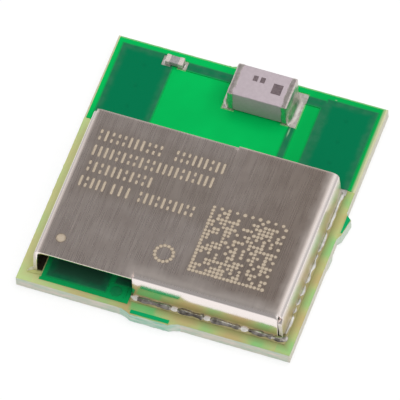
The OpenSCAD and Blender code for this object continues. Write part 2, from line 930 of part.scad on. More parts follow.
// Open tub with room for the quartz blank
module crystal_base() {
    color("#4a4038")
        at_places([crystal_place], z_seat)
            difference() {
                translate([-crystal_l/2, -crystal_w/2, 0])
                    cube([crystal_l, crystal_w, crystal_h]);
                translate([crystal_wall - crystal_l/2, crystal_wall - crystal_w/2, crystal_wall])
                    cube([crystal_l - 2*crystal_wall, crystal_w - 2*crystal_wall, crystal_h]);
            }
}

module crystal_lid() {
    color("#c8c3b8")
        at_places([crystal_place], z_seat + crystal_h)
            translate([crystal_lid_setback - crystal_l/2, crystal_lid_setback - crystal_w/2, 0])
                cube([crystal_l - 2*crystal_lid_setback, crystal_w - 2*crystal_lid_setback, crystal_lid_t]);
}

module quartz_adhesive() {
    color("#b0b0b0")
        at_places([crystal_place], z_seat + crystal_wall)
            for (side = [-1, 1])
                translate([(adhesive_d - blank_l)/2, side*(blank_w - adhesive_d)/2, 0])
                    cylinder(d = adhesive_d, h = adhesive_t);
}

module quartz_blank() {
    color("#e6ecee")
        at_places([crystal_place], z_seat + crystal_wall + adhesive_t)
            translate([-blank_l/2, -blank_w/2, 0])
                cube([blank_l, blank_w, blank_t]);
}

module crystal_solder() {
    color("#cfd0cc")
        layer(z_foil, solder_t)
            crystal_lands();
}

module band_filter_body() {
    color("#d9d5c8")
        at_places([filter_place], z_seat, 90)
            chip_core(filter_size, chip_plate);
}

// Caps at both ends, and a band half way along each side
module band_filter_terminals() {
    color("#d8d8d4")
        at_places([filter_place], z_seat, 90) {
            chip_caps(filter_size, chip_plate);
            difference() {
                for (side = [-1, 1])
                    translate([0, side*(filter_w - filter_side_lip)/2, filter_h/2])
                        cube([filter_side_band, filter_side_lip, filter_h], center = true);
                chip_core(filter_size, chip_plate);
            }
        }
}

module band_filter_solder() {
    color("#cfd0cc") {
        at_places([filter_place], z_foil, 90)
            small_joints(filter_size);
        layer(z_foil, solder_t)
            filter_side_lands();
    }
}

module supply_capacitor_bodies() {
    color("#a08a72")
        at_places(supply_places, z_seat, 90)
            chip_core(supply_size, chip_plate);
}

module supply_capacitor_terminals() {
    color("#d8d8d4")
        at_places(supply_places, z_seat, 90)
            chip_caps(supply_size, chip_plate);
}

module supply_capacitor_solder() {
    color("#cfd0cc")
        at_places(supply_places, z_foil, 90)
            small_joints(supply_size);
}

module bypass_capacitor_bodies() {
    color("#a08a72")
        at_places(bypass_places, z_seat, 90)
            chip_core(bypass_size, chip_plate);
}

module bypass_capacitor_terminals() {
    color("#d8d8d4")
        at_places(bypass_places, z_seat, 90)
            chip_caps(bypass_size, chip_plate);
}

module bypass_capacitor_solder() {
    color("#cfd0cc")
        at_places(bypass_places, z_foil, 90)
            small_joints(bypass_size);
}

module resistor_bodies() {
    color("#e8e6e0")
        at_places(resistor_places, z_seat)
            chip_core(resistor_size, chip_plate);
}

// Dark film on top of each resistor, between its caps
module resistor_films() {
    color("#222222")
        at_places(resistor_places, z_seat + resistor_h - chip_plate)
            translate([resistor_band - resistor_l/2, chip_plate - resistor_w/2, 0])
                cube([resistor_l - 2*resistor_band, resistor_w - 2*chip_plate, resistor_film_t]);
}

module resistor_terminals() {
    color("#d8d8d4")
        at_places(resistor_places, z_seat)
            chip_caps(resistor_size, chip_plate);
}

module resistor_solder() {
    color("#cfd0cc")
        at_places(resistor_places, z_foil)
            small_joints(resistor_size);
}

laminate();
left_ground_foil();
right_ground_foil();
tail_foil();
inner_ground_foil();
test_land();
component_lands();
via_barrels();
top_solder_mask();
bottom_ground_foil();
solder_lands();
corner_lands();
bottom_solder_mask();
antenna_body();
antenna_terminals();
antenna_patches();
antenna_solder();
matching_capacitor_body();
matching_capacitor_terminals();
matching_capacitor_solder();
shield_can();
shield_solder_front();
shield_solder_right();
shield_solder_back();
shield_solder_left();
radio_chip();
radio_chip_balls();
crystal_base();
crystal_lid();
quartz_blank();
quartz_adhesive();
crystal_solder();
band_filter_body();
band_filter_terminals();
band_filter_solder();
supply_capacitor_bodies();
supply_capacitor_terminals();
supply_capacitor_solder();
bypass_capacitor_bodies();
bypass_capacitor_terminals();
bypass_capacitor_solder();
resistor_bodies();
resistor_films();
resistor_terminals();
resistor_solder();
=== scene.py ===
# %% [markdown]
# # A shielded radio module
# This lesson dresses a surface-mount module, 9 mm wide, for its portrait. Its solids come from a CAD model,
# which is loaded as a fixed frame. Here they get their finishes, and the pieces that the eye sees best are
# made again with round edges, uneven solder and a brushed, laser-marked shield. Sizes are in millimetres, as
# on the module's drawing.

# %% Load the solid frame
import json
import math

import bmesh
import bpy
from mathutils import Matrix, Vector, noise


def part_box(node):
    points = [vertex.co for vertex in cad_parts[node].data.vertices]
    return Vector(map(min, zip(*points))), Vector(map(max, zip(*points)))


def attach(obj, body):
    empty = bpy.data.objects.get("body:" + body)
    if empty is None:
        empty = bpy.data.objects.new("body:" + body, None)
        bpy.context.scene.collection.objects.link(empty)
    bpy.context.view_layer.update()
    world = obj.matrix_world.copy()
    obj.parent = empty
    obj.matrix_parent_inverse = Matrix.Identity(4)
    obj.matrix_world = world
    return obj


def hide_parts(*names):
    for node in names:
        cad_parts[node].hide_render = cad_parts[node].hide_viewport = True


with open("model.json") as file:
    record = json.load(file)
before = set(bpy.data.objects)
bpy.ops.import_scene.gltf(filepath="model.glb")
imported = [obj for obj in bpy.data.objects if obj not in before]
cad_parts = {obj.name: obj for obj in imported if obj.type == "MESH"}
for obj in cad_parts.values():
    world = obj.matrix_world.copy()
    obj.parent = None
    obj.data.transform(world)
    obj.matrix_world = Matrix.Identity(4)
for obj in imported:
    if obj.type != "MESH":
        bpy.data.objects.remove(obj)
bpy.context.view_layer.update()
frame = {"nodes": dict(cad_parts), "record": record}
nodes = frame["nodes"]
scene = bpy.context.scene
MM = 0.001

# %% [markdown]
# ## The camera
# The module is photographed from its front right corner, well from above, through a long lens that hardly
# narrows the far side. A camera that tracks a point would stand upright, but this one is slightly rolled.
# Blender's camera looks along its own -Z, so its matrix has three columns: right, up and back. The roll and
# the place of the board's centre in the frame come from the photograph, taken as 400 by 400 pixels.

# %% Camera
AZIMUTH, ELEVATION, ROLL = (math.radians(x) for x in (22.417, 57.807, -3.458))
PIXELS_PER_MM, DISTANCE, FRAME_PIXELS = 31.652, 230, 400
CENTRE_OFFSET = Vector((3.61, -1.29))/PIXELS_PER_MM

level = Vector((math.cos(AZIMUTH), math.sin(AZIMUTH), 0))
back = Vector((math.sin(AZIMUTH)*math.cos(ELEVATION), -math.cos(AZIMUTH)*math.cos(ELEVATION),
               math.sin(ELEVATION)))
turn = Matrix.Rotation(ROLL, 3, back)
right, up = turn @ level, turn @ back.cross(level)
lens = bpy.data.cameras.new("long_lens")
lens.lens = PIXELS_PER_MM*DISTANCE/FRAME_PIXELS*lens.sensor_width
camera = bpy.data.objects.new("camera", lens)
place = back*DISTANCE - right*CENTRE_OFFSET.x - up*CENTRE_OFFSET.y
camera.matrix_world = Matrix.Translation(place*MM) @ Matrix((right, up, back)).transposed().to_4x4()
scene.collection.objects.link(camera)
scene.camera = camera
print("lens of", round(lens.lens), "mm at", DISTANCE, "mm")

# %% [markdown]
# ## Two small helpers
# Every finish below is a tree of nodes. They could be linked one by one, but that hides what feeds what.
# Here one function adds a node with its settings and links, and hands back the output that feeds the next
# one. The other function turns an sRGB hex colour, as a colour picker shows it, into the linear numbers that
# shaders want.

# %% Node and colour helpers
FULL_NAMES = ("Geometry", "Function", "NodeGroup")


def add(tree, kind, *values, out=0, **settings):
    """Adds a node and hands back one of its outputs, or all of them where out is None.

    Values go to its inputs in their order, or by name or number where a dictionary holds them.
    A socket is linked and anything else is set. Shader nodes go by their short names.
    """
    node = tree.nodes.new(kind if kind.startswith(FULL_NAMES) else "ShaderNode" + kind)
    for name, value in settings.items():
        setattr(node, name, value)
    for number, value in enumerate(values):
        for key, given in (value if isinstance(value, dict) else {number: value}).items():
            if isinstance(given, bpy.types.NodeSocket):
                tree.links.new(given, node.inputs[key])
            else:
                node.inputs[key].default_value = given
    return node.outputs if out is None else node.outputs[out]


def paint(hex_colour):
    """Linear RGBA of an sRGB hex colour."""
    parts = [int(hex_colour[i:i + 2], 16)/255 for i in (1, 3, 5)]
    return [c/12.92 if c <= 0.04045 else ((c + 0.055)/1.055)**2.4 for c in parts] + [1.0]


print("white is", paint("#ffffff")[:3])

# %% [markdown]
# ## Light
# Shiny metal shows the studio, so the studio is drawn with care: a white tent, duller down to the horizon,
# with a grey strip over the module from behind it to above the camera. The flat top and the front bend look
# into that strip, the side bends look past it into white. Lamps and cards as objects could do this, but a
# formula on the sky's direction has no edges to hide. Only mirror-like rays see it. A wide soft lamp lights
# matt surfaces at a plain level.

# %% Studio
STRIP_MIDDLE, STRIP_EDGES, STRIP_RUN, STRIP_END = -0.2, (0.26, 0.62), (0.2, -0.7), (0.64, 0.84)
STRIP_BACK, STRIP_FRONT, FILL_LEVEL = 0.24, 0.36, 0.42
TENT_LOW, TENT_HIGH, TENT_RISE = 0.62, 0.92, 0.45
WHITE = (1, 1, 1, 1)

tent = bpy.data.worlds.new("white_tent")
scene.world = tent
tent.use_nodes = True
tree = tent.node_tree
tree.nodes.clear()
ray = add(tree, "LightPath", out=None)
heading = add(tree, "SeparateXYZ", add(tree, "TexCoord", out="Generated"), out=None)
aside = add(tree, "Math", heading["X"], STRIP_MIDDLE, operation="SUBTRACT")
aside = add(tree, "Math", aside, operation="ABSOLUTE")
beside = add(tree, "MapRange", aside, *STRIP_EDGES, interpolation_type="SMOOTHSTEP")
strip = add(tree, "MapRange", heading["Y"], *STRIP_RUN, STRIP_BACK, STRIP_FRONT)
past_end = add(tree, "MapRange", heading["Y"], *STRIP_END, interpolation_type="SMOOTHSTEP")
open_tent = add(tree, "Math", beside, past_end, operation="MAXIMUM")
tent_cloth = add(tree, "MapRange", heading["Z"], 0, TENT_RISE, TENT_LOW, TENT_HIGH)
around = add(tree, "Mix", open_tent, {2: strip, 3: tent_cloth})
mirrored = add(tree, "Math", ray["Is Glossy Ray"], ray["Is Transmission Ray"], operation="MAXIMUM")
seen = add(tree, "Mix", mirrored, {2: FILL_LEVEL, 3: around})
sky_level = add(tree, "Mix", ray["Is Camera Ray"], {2: seen, 3: 1.0})
add(tree, "OutputWorld", add(tree, "Background", WHITE, sky_level), out=None)
print("grey strip from", STRIP_BACK, "to", STRIP_FRONT, "in a tent of", len(tree.nodes), "nodes")

# %% Lamp
LAMP_SIDE, LAMP_PLACE, LAMP_WATTS = 0.3, (0.07, 0.008, 0.25), 0.64

overhead = bpy.data.lights.new("overhead_softbox", "AREA")
overhead.size, overhead.energy = LAMP_SIDE, LAMP_WATTS
lamp = bpy.data.objects.new("overhead_softbox", overhead)
lamp.location = LAMP_PLACE
lamp.visible_glossy = False
scene.collection.objects.link(lamp)
scene.view_settings.view_transform = "Standard"
print("lamp of", LAMP_WATTS, "W")

# %% [markdown]
# ## Floor
# The module lies on a white table. More light would make a plain white plane white in the picture, but it
# would bleach the module too. So the table glows for the rays of the camera and of mirrors, and stays partly
# matt to keep the shadow. Away from the board its glow fades in mirrors alone, as a small table in a dim
# room does.

# %% Floor
FLOOR_SIDE, FLOOR_DROP, GLOW_SHARE, GLOW, FADED_GLOW = 0.6, 0.002, 0.72, 1.04, 0.45
FADE_FROM, FADE_TO, FADE_SHAPE, MATT_WHITE = 5.3, 7.0, (1, 0.45, 0), (0.9, 0.9, 0.9, 1)

bpy.ops.mesh.primitive_plane_add(size=FLOOR_SIDE, location=(0, 0, -FLOOR_DROP*MM))
floor = bpy.context.object
floor.name = "floor"
white = bpy.data.materials.new("white_table")
white.use_nodes = True
tree = white.node_tree
tree.nodes.clear()
ray = add(tree, "LightPath", out=None)
shown = add(tree, "Math", ray["Is Camera Ray"], ray["Is Glossy Ray"], operation="MAXIMUM")
glow_share = add(tree, "Math", shown, GLOW_SHARE, operation="MULTIPLY")
aside = add(tree, "VectorMath", add(tree, "TexCoord", out="Object"), FADE_SHAPE, operation="MULTIPLY")
aside = add(tree, "VectorMath", aside, out="Value", operation="LENGTH")
faded = add(tree, "MapRange", aside, FADE_FROM*MM, FADE_TO*MM, GLOW, FADED_GLOW)
glow_level = add(tree, "Mix", ray["Is Camera Ray"], {2: faded, 3: GLOW})
glow = add(tree, "Emission", WHITE, glow_level)
matt = add(tree, "BsdfDiffuse", MATT_WHITE)
add(tree, "OutputMaterial", add(tree, "MixShader", glow_share, matt, glow), out=None)
floor.data.materials.append(white)
print("floor of", floor.dimensions.x, "m")

# %% [markdown]
# ## A finish starts here
# Each finish is one Principled shader. Image textures would need a photograph of every surface, so the
# patterns are formulas on Object coordinates. These are metres here, and the first function also hands back
# the place in millimetres: a noise of scale 10 then has grains of a tenth of a millimetre. The others lay
# tints on a colour, make it patchy, give a shader its colour and relief, and tell how far off some
# rectangles a place is.

# %% Finish helpers
PATCH_EDGES = (0.35, 0.65)


def new_finish(name, **sockets):
    """A material with one Principled shader, its tree, the shader and the place in millimetres."""
    made = bpy.data.materials.new(name)
    made.use_nodes = True
    tree = made.node_tree
    tree.nodes.clear()
    shader = add(tree, "BsdfPrincipled", {key.replace("_", " "): value for key, value in sockets.items()})
    add(tree, "OutputMaterial", shader, out=None)
    metres = add(tree, "TexCoord", out="Object")
    return made, tree, shader.node, add(tree, "VectorMath", metres, {"Scale": 1/MM}, operation="SCALE")


def tinted(tree, colour, *tints):
    """A colour with tints laid over it. Each is its share and a hex colour, or a socket that gives one."""
    for share, tint in tints:
        over = paint(tint) if isinstance(tint, str) else tint
        colour = add(tree, "Mix", share, {6: colour, 7: over}, out=2, data_type="RGBA")
    return colour


def patchy(tree, place, low, high, grain, detail=2.0):
    """A colour that wanders between two hex colours, in patches as wide as grain, and its share."""
    wander = add(tree, "TexNoise", {"Vector": place, "Scale": 1/grain, "Detail": detail})
    share = add(tree, "MapRange", wander, *PATCH_EDGES)
    return tinted(tree, paint(low), (share, high)), share


def cover(tree, shader, colour, height, depth):
    """Gives the shader its colour and a relief of some depth in millimetres."""
    tree.links.new(colour, shader.inputs["Base Color"])
    relief = add(tree, "Bump", {"Height": height, "Distance": depth*MM})
    tree.links.new(relief, shader.inputs["Normal"])


print("finishes are built for Blender", bpy.app.version_string)


# %% Grain and distance helpers
def grainy_finish(name, low, high, grain, depth, **sockets):
    """A whole finish: patches between two colours that also stand up by depth in millimetres."""
    made, tree, shader, place = new_finish(name, **sockets)
    cover(tree, shader, *patchy(tree, place, low, high, grain, 3.0), depth)
    return made


def off_rectangles(tree, axes, rectangles, blend=0.0):
    """Distance in millimetres to the nearest of some rectangles (x0, y0, x1, y1), below 0 inside one."""
    nearest = None
    for x0, y0, x1, y1 in rectangles:
        over = []
        for axis, low, high in (("X", x0, x1), ("Y", y0, y1)):
            off = add(tree, "Math", axes[axis], (low + high)/2, operation="SUBTRACT")
            off = add(tree, "Math", off, operation="ABSOLUTE")
            over.append(add(tree, "Math", off, (high - low)/2, operation="SUBTRACT"))
        off = add(tree, "Math", *over, operation="MAXIMUM")
        nearest = off if nearest is None else add(tree, "Math", nearest, off, blend, operation="SMOOTH_MIN")
    return nearest


print("patches turn between", *PATCH_EDGES, "of the noise")

# %% [markdown]
# ## Solder mask
# The mask is a thin green epoxy, printed and cured. Over bare laminate it looks bright, over copper dark,
# and along a copper edge, where it runs thin, greyish. Three materials on cut pieces would show hard seams,
# so one finish knows where the copper is: each piece of copper is a rectangle, and the distance to the
# nearest one sets the colour. It is also a little darker to the right, and bluer on the tab stubs. Under
# the shield it gets painted shade: a duller green, and a greyer, darker one over copper.

# %% Mask over laminate and copper
COPPER_UNDER_MASK = [(-4.3, 1.3, -2.5, 4.55), (2.62, 1.3, 4.3, 4.55), (2.5, 1.3, 2.7, 4.42),
                     (1.68, 4.17, 2.6, 4.47), (-2.32, 4.17, -0.3, 4.47), (1.76, 0.6, 1.96, 3.26),
                     (-3.64, -4.43, -1.69, 0.84), (-1.5, -4.02, 3.64, 0.84)]
COPPER_BLEND, EDGE_FADE, DEPTH_FADE, EDGE_WANDER = 0.05, (0.05, -0.04), (-0.05, -0.28), 0.1
TEST_LAND, LAND_RADIUS, LAND_CLEAR = (-1.37, -4.3, 0), 0.16, 0.005
SHADE_UNDER_CAN, CAN_SHADE_FADE, RIGHT_FADE, RIGHT_SHARE = (-4.1, -4.7, 4.1, 1.0), (0.1, -0.1), (1.6, 2.2), 0.6
BOARD, STUB_FADE, RAGGED_PER_MM = (-4.57, -4.75, 4.57, 4.95), (0, 0.03), 4.0

# Cured epoxy: saturated colour that comes from below a smooth skin, with only a weak shine.
mask_finish, tree, shader, place = new_finish("green_solder_mask", Roughness=0.35, IOR=1.5,
                                              Specular_IOR_Level=0.06)
axes = add(tree, "SeparateXYZ", place, out=None)
seen_flat = add(tree, "CombineXYZ", axes["X"], axes["Y"])
off_land = add(tree, "VectorMath", seen_flat, TEST_LAND, out="Value", operation="DISTANCE")
off_land = add(tree, "Math", off_land, LAND_RADIUS, operation="SUBTRACT")
off_land = add(tree, "Math", off_land, LAND_CLEAR, operation="MAXIMUM")
off_copper = off_rectangles(tree, axes, COPPER_UNDER_MASK, COPPER_BLEND)
off_copper = add(tree, "Math", off_copper, off_land, operation="MINIMUM")
ragged = add(tree, "TexNoise", {"Vector": place, "Scale": RAGGED_PER_MM, "Detail": 3.0})
ragged = add(tree, "MapRange", ragged, 0, 1, -EDGE_WANDER, EDGE_WANDER)
inside = add(tree, "Math", off_copper, ragged, operation="ADD")
edge = add(tree, "MapRange", off_copper, *EDGE_FADE, interpolation_type="SMOOTHSTEP")
deep = add(tree, "MapRange", inside, *DEPTH_FADE, interpolation_type="SMOOTHSTEP")
# Painted shade under the shield: a duller green there, and a greyer, darker one over copper.
shade_under_can = add(tree, "MapRange", off_rectangles(tree, axes, [SHADE_UNDER_CAN]), *CAN_SHADE_FADE)
on_tab = add(tree, "MapRange", off_rectangles(tree, axes, [BOARD]), *STUB_FADE)
to_right = add(tree, "MapRange", axes["X"], *RIGHT_FADE, 0, RIGHT_SHARE)
bright, _ = patchy(tree, place, "#00AE52", "#00B857", 1.6)
# The tints under the shield on this line and on the bulk below are painted shade.
bright = tinted(tree, bright, (to_right, "#009C48"), (shade_under_can, "#10A75C"), (on_tab, "#0CA061"))
thin, _ = patchy(tree, place, "#18704A", "#2B7452", 0.3)
bulk = tinted(tree, paint("#00734A"), (shade_under_can, "#2B5B45"))
green = tinted(tree, bright, (edge, tinted(tree, thin, (deep, bulk))))
print("mask finish knows", len(COPPER_UNDER_MASK), "copper areas")

# %% [markdown]
# ## Flaws in the mask, and a painted highlight
# Vias under the mask leave small dark dimples, and along the right edge the mask runs out over the
# laminate. A pale streak on the feed trace's edge is a painted highlight, and there is one more small pale
# spot. Such spots could be small pieces of their own, but they would stand on the mask. As tints in the
# same tree they lie in it.

# %% Vias, a painted highlight, a pale spot and the thin right edge
VIA_PLACES = [(x, y, 0) for x in (-3.4, 3.4) for y in (3.92, 3.10, 2.28)]
HIGHLIGHT_STREAK_AND_SPOT = [((1.82, 2.97, 0), (0.035, 0.22, 1)), ((2.86, 4.6, 0), (0.05, 0.03, 1))]
VIA_FADE, VIA_SHARE, PALE_SPOT_FADE, THIN_EDGE, MASK_RELIEF = (0.12, 0.02), 0.4, (1.0, 0.3), (4.39, 4.46), 0.02

dimple = None
for via in VIA_PLACES:
    away = add(tree, "VectorMath", seen_flat, via, out="Value", operation="DISTANCE")
    dimple = away if dimple is None else add(tree, "Math", dimple, away, operation="MINIMUM")
hole = add(tree, "MapRange", dimple, *VIA_FADE, 0, VIA_SHARE, interpolation_type="SMOOTHSTEP")
green = tinted(tree, green, (hole, "#006944"))
# The first spot, a long pale streak on the feed trace's edge, is a painted highlight. The second is a small
# pale spot.
for middle, half_size in HIGHLIGHT_STREAK_AND_SPOT:
    away = add(tree, "VectorMath", seen_flat, middle, operation="SUBTRACT")
    away = add(tree, "VectorMath", away, half_size, operation="DIVIDE")
    away = add(tree, "VectorMath", away, out="Value", operation="LENGTH")
    green = tinted(tree, green, (add(tree, "MapRange", away, *PALE_SPOT_FADE), "#86B48C"))
thinned = add(tree, "MapRange", axes["X"], *THIN_EDGE)
thinned = add(tree, "Math", thinned, on_tab, operation="SUBTRACT", use_clamp=True)
raised = add(tree, "Math", edge, hole, operation="SUBTRACT")
cover(tree, shader, tinted(tree, green, (thinned, "#AEBB8E")), raised, MASK_RELIEF)
print(len(VIA_PLACES), "vias and", len(HIGHLIGHT_STREAK_AND_SPOT), "rubbed spots in the mask")

# %% [markdown]
# ## Laminate
# Glass cloth in epoxy is pale, milky and a little green. Along the shield's margin the lands underneath
# shine through it, so green and tan take turns, about 1.9 mm apart. Painted stripes would be too even: a
# cosine along each edge sets the beat and noise bends it. Beside the shield's lands the laminate is darker
# olive, partly flux stain and partly painted shade at the walls' feet, and it looks paler to the left and
# behind the shield.

# %% Laminate beat
SIDE_PITCH, SIDE_PEAK, FRONT_PITCH, FRONT_PEAK, MARGIN = 1.91, 0.28, 1.76, 0.92, 4.04
BEAT_SHARE, MOTTLE_PER_MM = 0.2, 1.3

# Glass-filled resin: a matt, slightly see-through body, without the gloss of the mask.
laminate_finish, tree, shader, place = new_finish("glass_epoxy_laminate", Roughness=0.55, IOR=1.5,
                                                  Specular_IOR_Level=0.2)
axes = add(tree, "SeparateXYZ", place, out=None)
waves = []
for axis, pitch, peak in (("Y", SIDE_PITCH, SIDE_PEAK), ("X", FRONT_PITCH, FRONT_PEAK)):
    phase = add(tree, "Math", axes[axis], 2*math.pi/pitch, -2*math.pi*peak/pitch, operation="MULTIPLY_ADD")
    waves.append(add(tree, "Math", phase, operation="COSINE"))
across = add(tree, "Math", axes["X"], operation="ABSOLUTE")
beside = add(tree, "Math", across, MARGIN, operation="GREATER_THAN")
wave = add(tree, "Mix", beside, {2: waves[1], 3: waves[0]})
mottle = add(tree, "TexNoise", {"Vector": place, "Scale": MOTTLE_PER_MM, "Detail": 3.0})
beat = add(tree, "Math", wave, BEAT_SHARE, mottle, operation="MULTIPLY_ADD")
margin_tint = add(tree, "ValToRGB", beat)
stops = margin_tint.node.color_ramp.elements
stops.new(0.75)
for stop, position, tint in zip(stops, (0.25, 0.5, 0.75), ("#8DC27A", "#B2BD7D", "#BCAC76")):
    stop.position, stop.color = position, paint(tint)
print("laminate tints take turns every", SIDE_PITCH, "and", FRONT_PITCH, "mm")

# %% Laminate top
BOARD_TOP, MASK_FRONT_END, MASKED = 0.48, 1.5, (-4.47, 1.55, 4.47, 5.0)
SHIELD_LANDS, STAIN_SHADE_FADE, STAIN_SHADE_SHARE = (-4.27, -4.47, 4.27, 1.47), (0.22, 0.02), 0.75
BY_FRONT_TAB, TAB_FADE, TAB_SHARE = (-0.76, -4.74, 0.0, -4.5), (0.08, -0.04), 0.7
LEFT_FADE, LEFT_SHARE = (-1.2, -4.0), 0.6

# Darker olive beside the shield's lands: flux stain, with painted shade at the walls' feet.
stain_and_shade = add(tree, "MapRange", off_rectangles(tree, axes, [SHIELD_LANDS]), *STAIN_SHADE_FADE, 0, STAIN_SHADE_SHARE)
greener = add(tree, "MapRange", off_rectangles(tree, axes, [BY_FRONT_TAB]), *TAB_FADE, 0, TAB_SHARE)
paler = add(tree, "MapRange", axes["X"], *LEFT_FADE, 0, LEFT_SHARE)
behind = add(tree, "Math", axes["Y"], MASK_FRONT_END, operation="GREATER_THAN")
ringed = add(tree, "Math", off_rectangles(tree, axes, [MASKED]), 0.0, operation="LESS_THAN")
top = tinted(tree, margin_tint, (stain_and_shade, "#8A8854"), (greener, "#5ABF6E"), (paler, "#DCDF9E"),
             (behind, "#CCCBA6"), (ringed, "#7CC27A"))
print("laminate top is", BOARD_TOP, "mm up")

# %% [markdown]
# ## The laminate's sides
# A routed side is cloudy, drawn out along the cloth, and a broken one shows teal glass. The right side gets
# painted light: it is painted lighter and more even. A second material would need its own faces, so the
# height on the board tells the top from the sides, and an attribute of the mesh, which the board gets
# further below, tells where it is torn.

# %% Laminate sides
CLOTH_GRAIN, LIT_RIGHT_FADE, TOP_FADE = (1.6, 1.6, 7), (4.45, 4.51), (0.03, 0.008)
YARNS_PER_MM, YARN_DEPTH = 20.0, 0.004

drawn = add(tree, "Mapping", {"Vector": place, "Scale": CLOTH_GRAIN})
cloth = add(tree, "TexNoise", {"Vector": drawn, "Scale": 1.0, "Detail": 5.0})
cloudy = add(tree, "MapRange", cloth, *PATCH_EDGES)
# Painted light: the board's right side is painted lighter and more even.
lit_right_side = add(tree, "MapRange", axes["X"], *LIT_RIGHT_FADE)
routed = tinted(tree, paint("#C6D4C1"), (cloudy, "#E4DACD"), (lit_right_side, "#D8D4C4"))
broken = tinted(tree, paint("#8AD0B4"), (cloudy, "#DDE1D4"), (lit_right_side, "#CFDDCC"))
torn_share = add(tree, "Attribute", out="Fac", attribute_name="torn")
on_top = add(tree, "MapRange", axes["Z"], *(BOARD_TOP - below for below in TOP_FADE))
# Glass yarns are 0.01 mm. The grain here is 0.05 mm, which still shows.
yarns = add(tree, "TexNoise", {"Vector": place, "Scale": YARNS_PER_MM, "Detail": 3.0})
cover(tree, shader, tinted(tree, routed, (torn_share, broken), (on_top, top)), yarns, YARN_DEPTH)
print("laminate finish of", len(tree.nodes), "nodes")

# %% [markdown]
# ## The shield's metal
# The shield is cold-rolled nickel silver, brushed along the board before it was cut, so its grain is long in
# Y. A plain metal would be even, so noise drawn out along Y gives the brush lines, and a brown haze lies
# where the laser heated the sheet around its marks. To the right the sheet's colour is slightly darker.

# %% Shield sheet
TOP_Z, RIGHT_DARKEN_FADE = 1.6945, (0.4, 3.2)
BRUSH_GRAIN, BRUSH_SHARE, CLOUDS_PER_MM, TONE_FADE = (28, 0.8, 6), 0.4, 1.1, (0.42, 0.98)
HEATED = [(0.78, -3.5, 3.25, -1.05), (-3.6, -1.8, 0.7, 0.6)]
HEAT_BLEND, HEAT_FADE, HAZE_SHARE = 0.2, (0.3, -0.25), 0.3

# Rolled nickel silver: a warm grey mirror, blurred across the brush lines.
shield_finish, tree, shader, place = new_finish("brushed_nickel_silver", Metallic=1.0)
axes = add(tree, "SeparateXYZ", place, out=None)
# The real brush lines are about 0.01 mm apart. These are 0.035 mm, which is one pixel of the portrait.
drawn = add(tree, "Mapping", {"Vector": place, "Scale": BRUSH_GRAIN})
brush = add(tree, "TexNoise", {"Vector": drawn, "Scale": 1.0, "Detail": 3.0})
cloud = add(tree, "TexNoise", {"Vector": place, "Scale": CLOUDS_PER_MM, "Detail": 5.0, "Roughness": 0.6})
tone = add(tree, "Math", brush, BRUSH_SHARE, cloud, operation="MULTIPLY_ADD")
tone = add(tree, "MapRange", tone, *TONE_FADE)
hot = off_rectangles(tree, axes, HEATED, HEAT_BLEND)
haze = add(tree, "MapRange", hot, *HEAT_FADE, 0, HAZE_SHARE, interpolation_type="SMOOTHSTEP")
sheet = tinted(tree, paint("#D9C9C1"), (tone, "#F6E8E0"), (haze, "#B8A594"))
right_darkening = add(tree, "MapRange", axes["X"], *RIGHT_DARKEN_FADE)
sheet = add(tree, "Mix", right_darkening, {6: sheet, 7: paint("#EBE6E1")}, out=2, data_type="RGBA",
            blend_type="MULTIPLY")
print("shield brushed at", round(1/BRUSH_GRAIN[0], 3), "mm, heated in", len(HEATED), "places")

# %% [markdown]
# ## Bends, scuffs and sheared ends
# The folding tool polished the bends, so they mirror sharply, and the sheet's ends were sheared and are
# dull. The front edge and the right edge are scuffed. Faces of their own could have other metals, but a bend
# has no seam, so height and place on the shield choose the roughness.

# %% Shield bends and scuffs
UNSCUFFED = [(-4.5, -3.74, 3.7, 1.6), (-4.5, -4.6, -1.1, 1.6)]
SCUFF_BLEND, SCUFF_CLOUD, SCUFF_FADE, SCUFF_ROUGHNESS = 0.05, 0.5, (0.22, 0.56), 0.12
FLAT_FADE, LINE_FADE, LINE_ROUGHNESS = (0.06, 0.01), (0.3, 0.7), (0.24, 0.36)
BEND_FADE, BEND_ROUGHNESS, BRUSH_DEPTH = (4.05, 4.1), (0.13, 0.28), 0.0015
END_FADE, END_FROM_X, END_ROUGHNESS = (-4.27, -4.3), 3.98, 0.6

flat = add(tree, "MapRange", axes["Z"], *(TOP_Z - below for below in FLAT_FADE))
off_middle = off_rectangles(tree, axes, UNSCUFFED, SCUFF_BLEND)
scuff = add(tree, "Math", cloud, SCUFF_CLOUD, off_middle, operation="MULTIPLY_ADD")
scuff = add(tree, "MapRange", scuff, *SCUFF_FADE)
sheet = tinted(tree, paint("#F4EAE6"), (flat, tinted(tree, sheet, (scuff, "#F3E6DE"))))
lines = add(tree, "MapRange", brush, *LINE_FADE, *LINE_ROUGHNESS)
lines = add(tree, "Math", scuff, SCUFF_ROUGHNESS, lines, operation="MULTIPLY_ADD")
across = add(tree, "Math", axes["X"], operation="ABSOLUTE")
polished = add(tree, "MapRange", across, *BEND_FADE, *BEND_ROUGHNESS)
at_end = add(tree, "MapRange", axes["Y"], *END_FADE)
on_side = add(tree, "Math", across, END_FROM_X, operation="GREATER_THAN")
sheared = add(tree, "Math", at_end, on_side, operation="MULTIPLY")
polished = add(tree, "Mix", sheared, {2: polished, 3: END_ROUGHNESS})
tree.links.new(add(tree, "Mix", flat, {2: polished, 3: lines}), shader.inputs["Roughness"])
cover(tree, shader, sheet, brush, BRUSH_DEPTH)
print("scuffed outside", UNSCUFFED[0])

# %% [markdown]
# ## Other metals
# Solder, plating and lands differ in how smooth they froze or were plated. A photograph of each could be
# wrapped on, but two colours, a grain size and a height tell them apart as well at this scale. Most finishes
# go by the record's own material slots, so that each solid finds its finish by its slot.

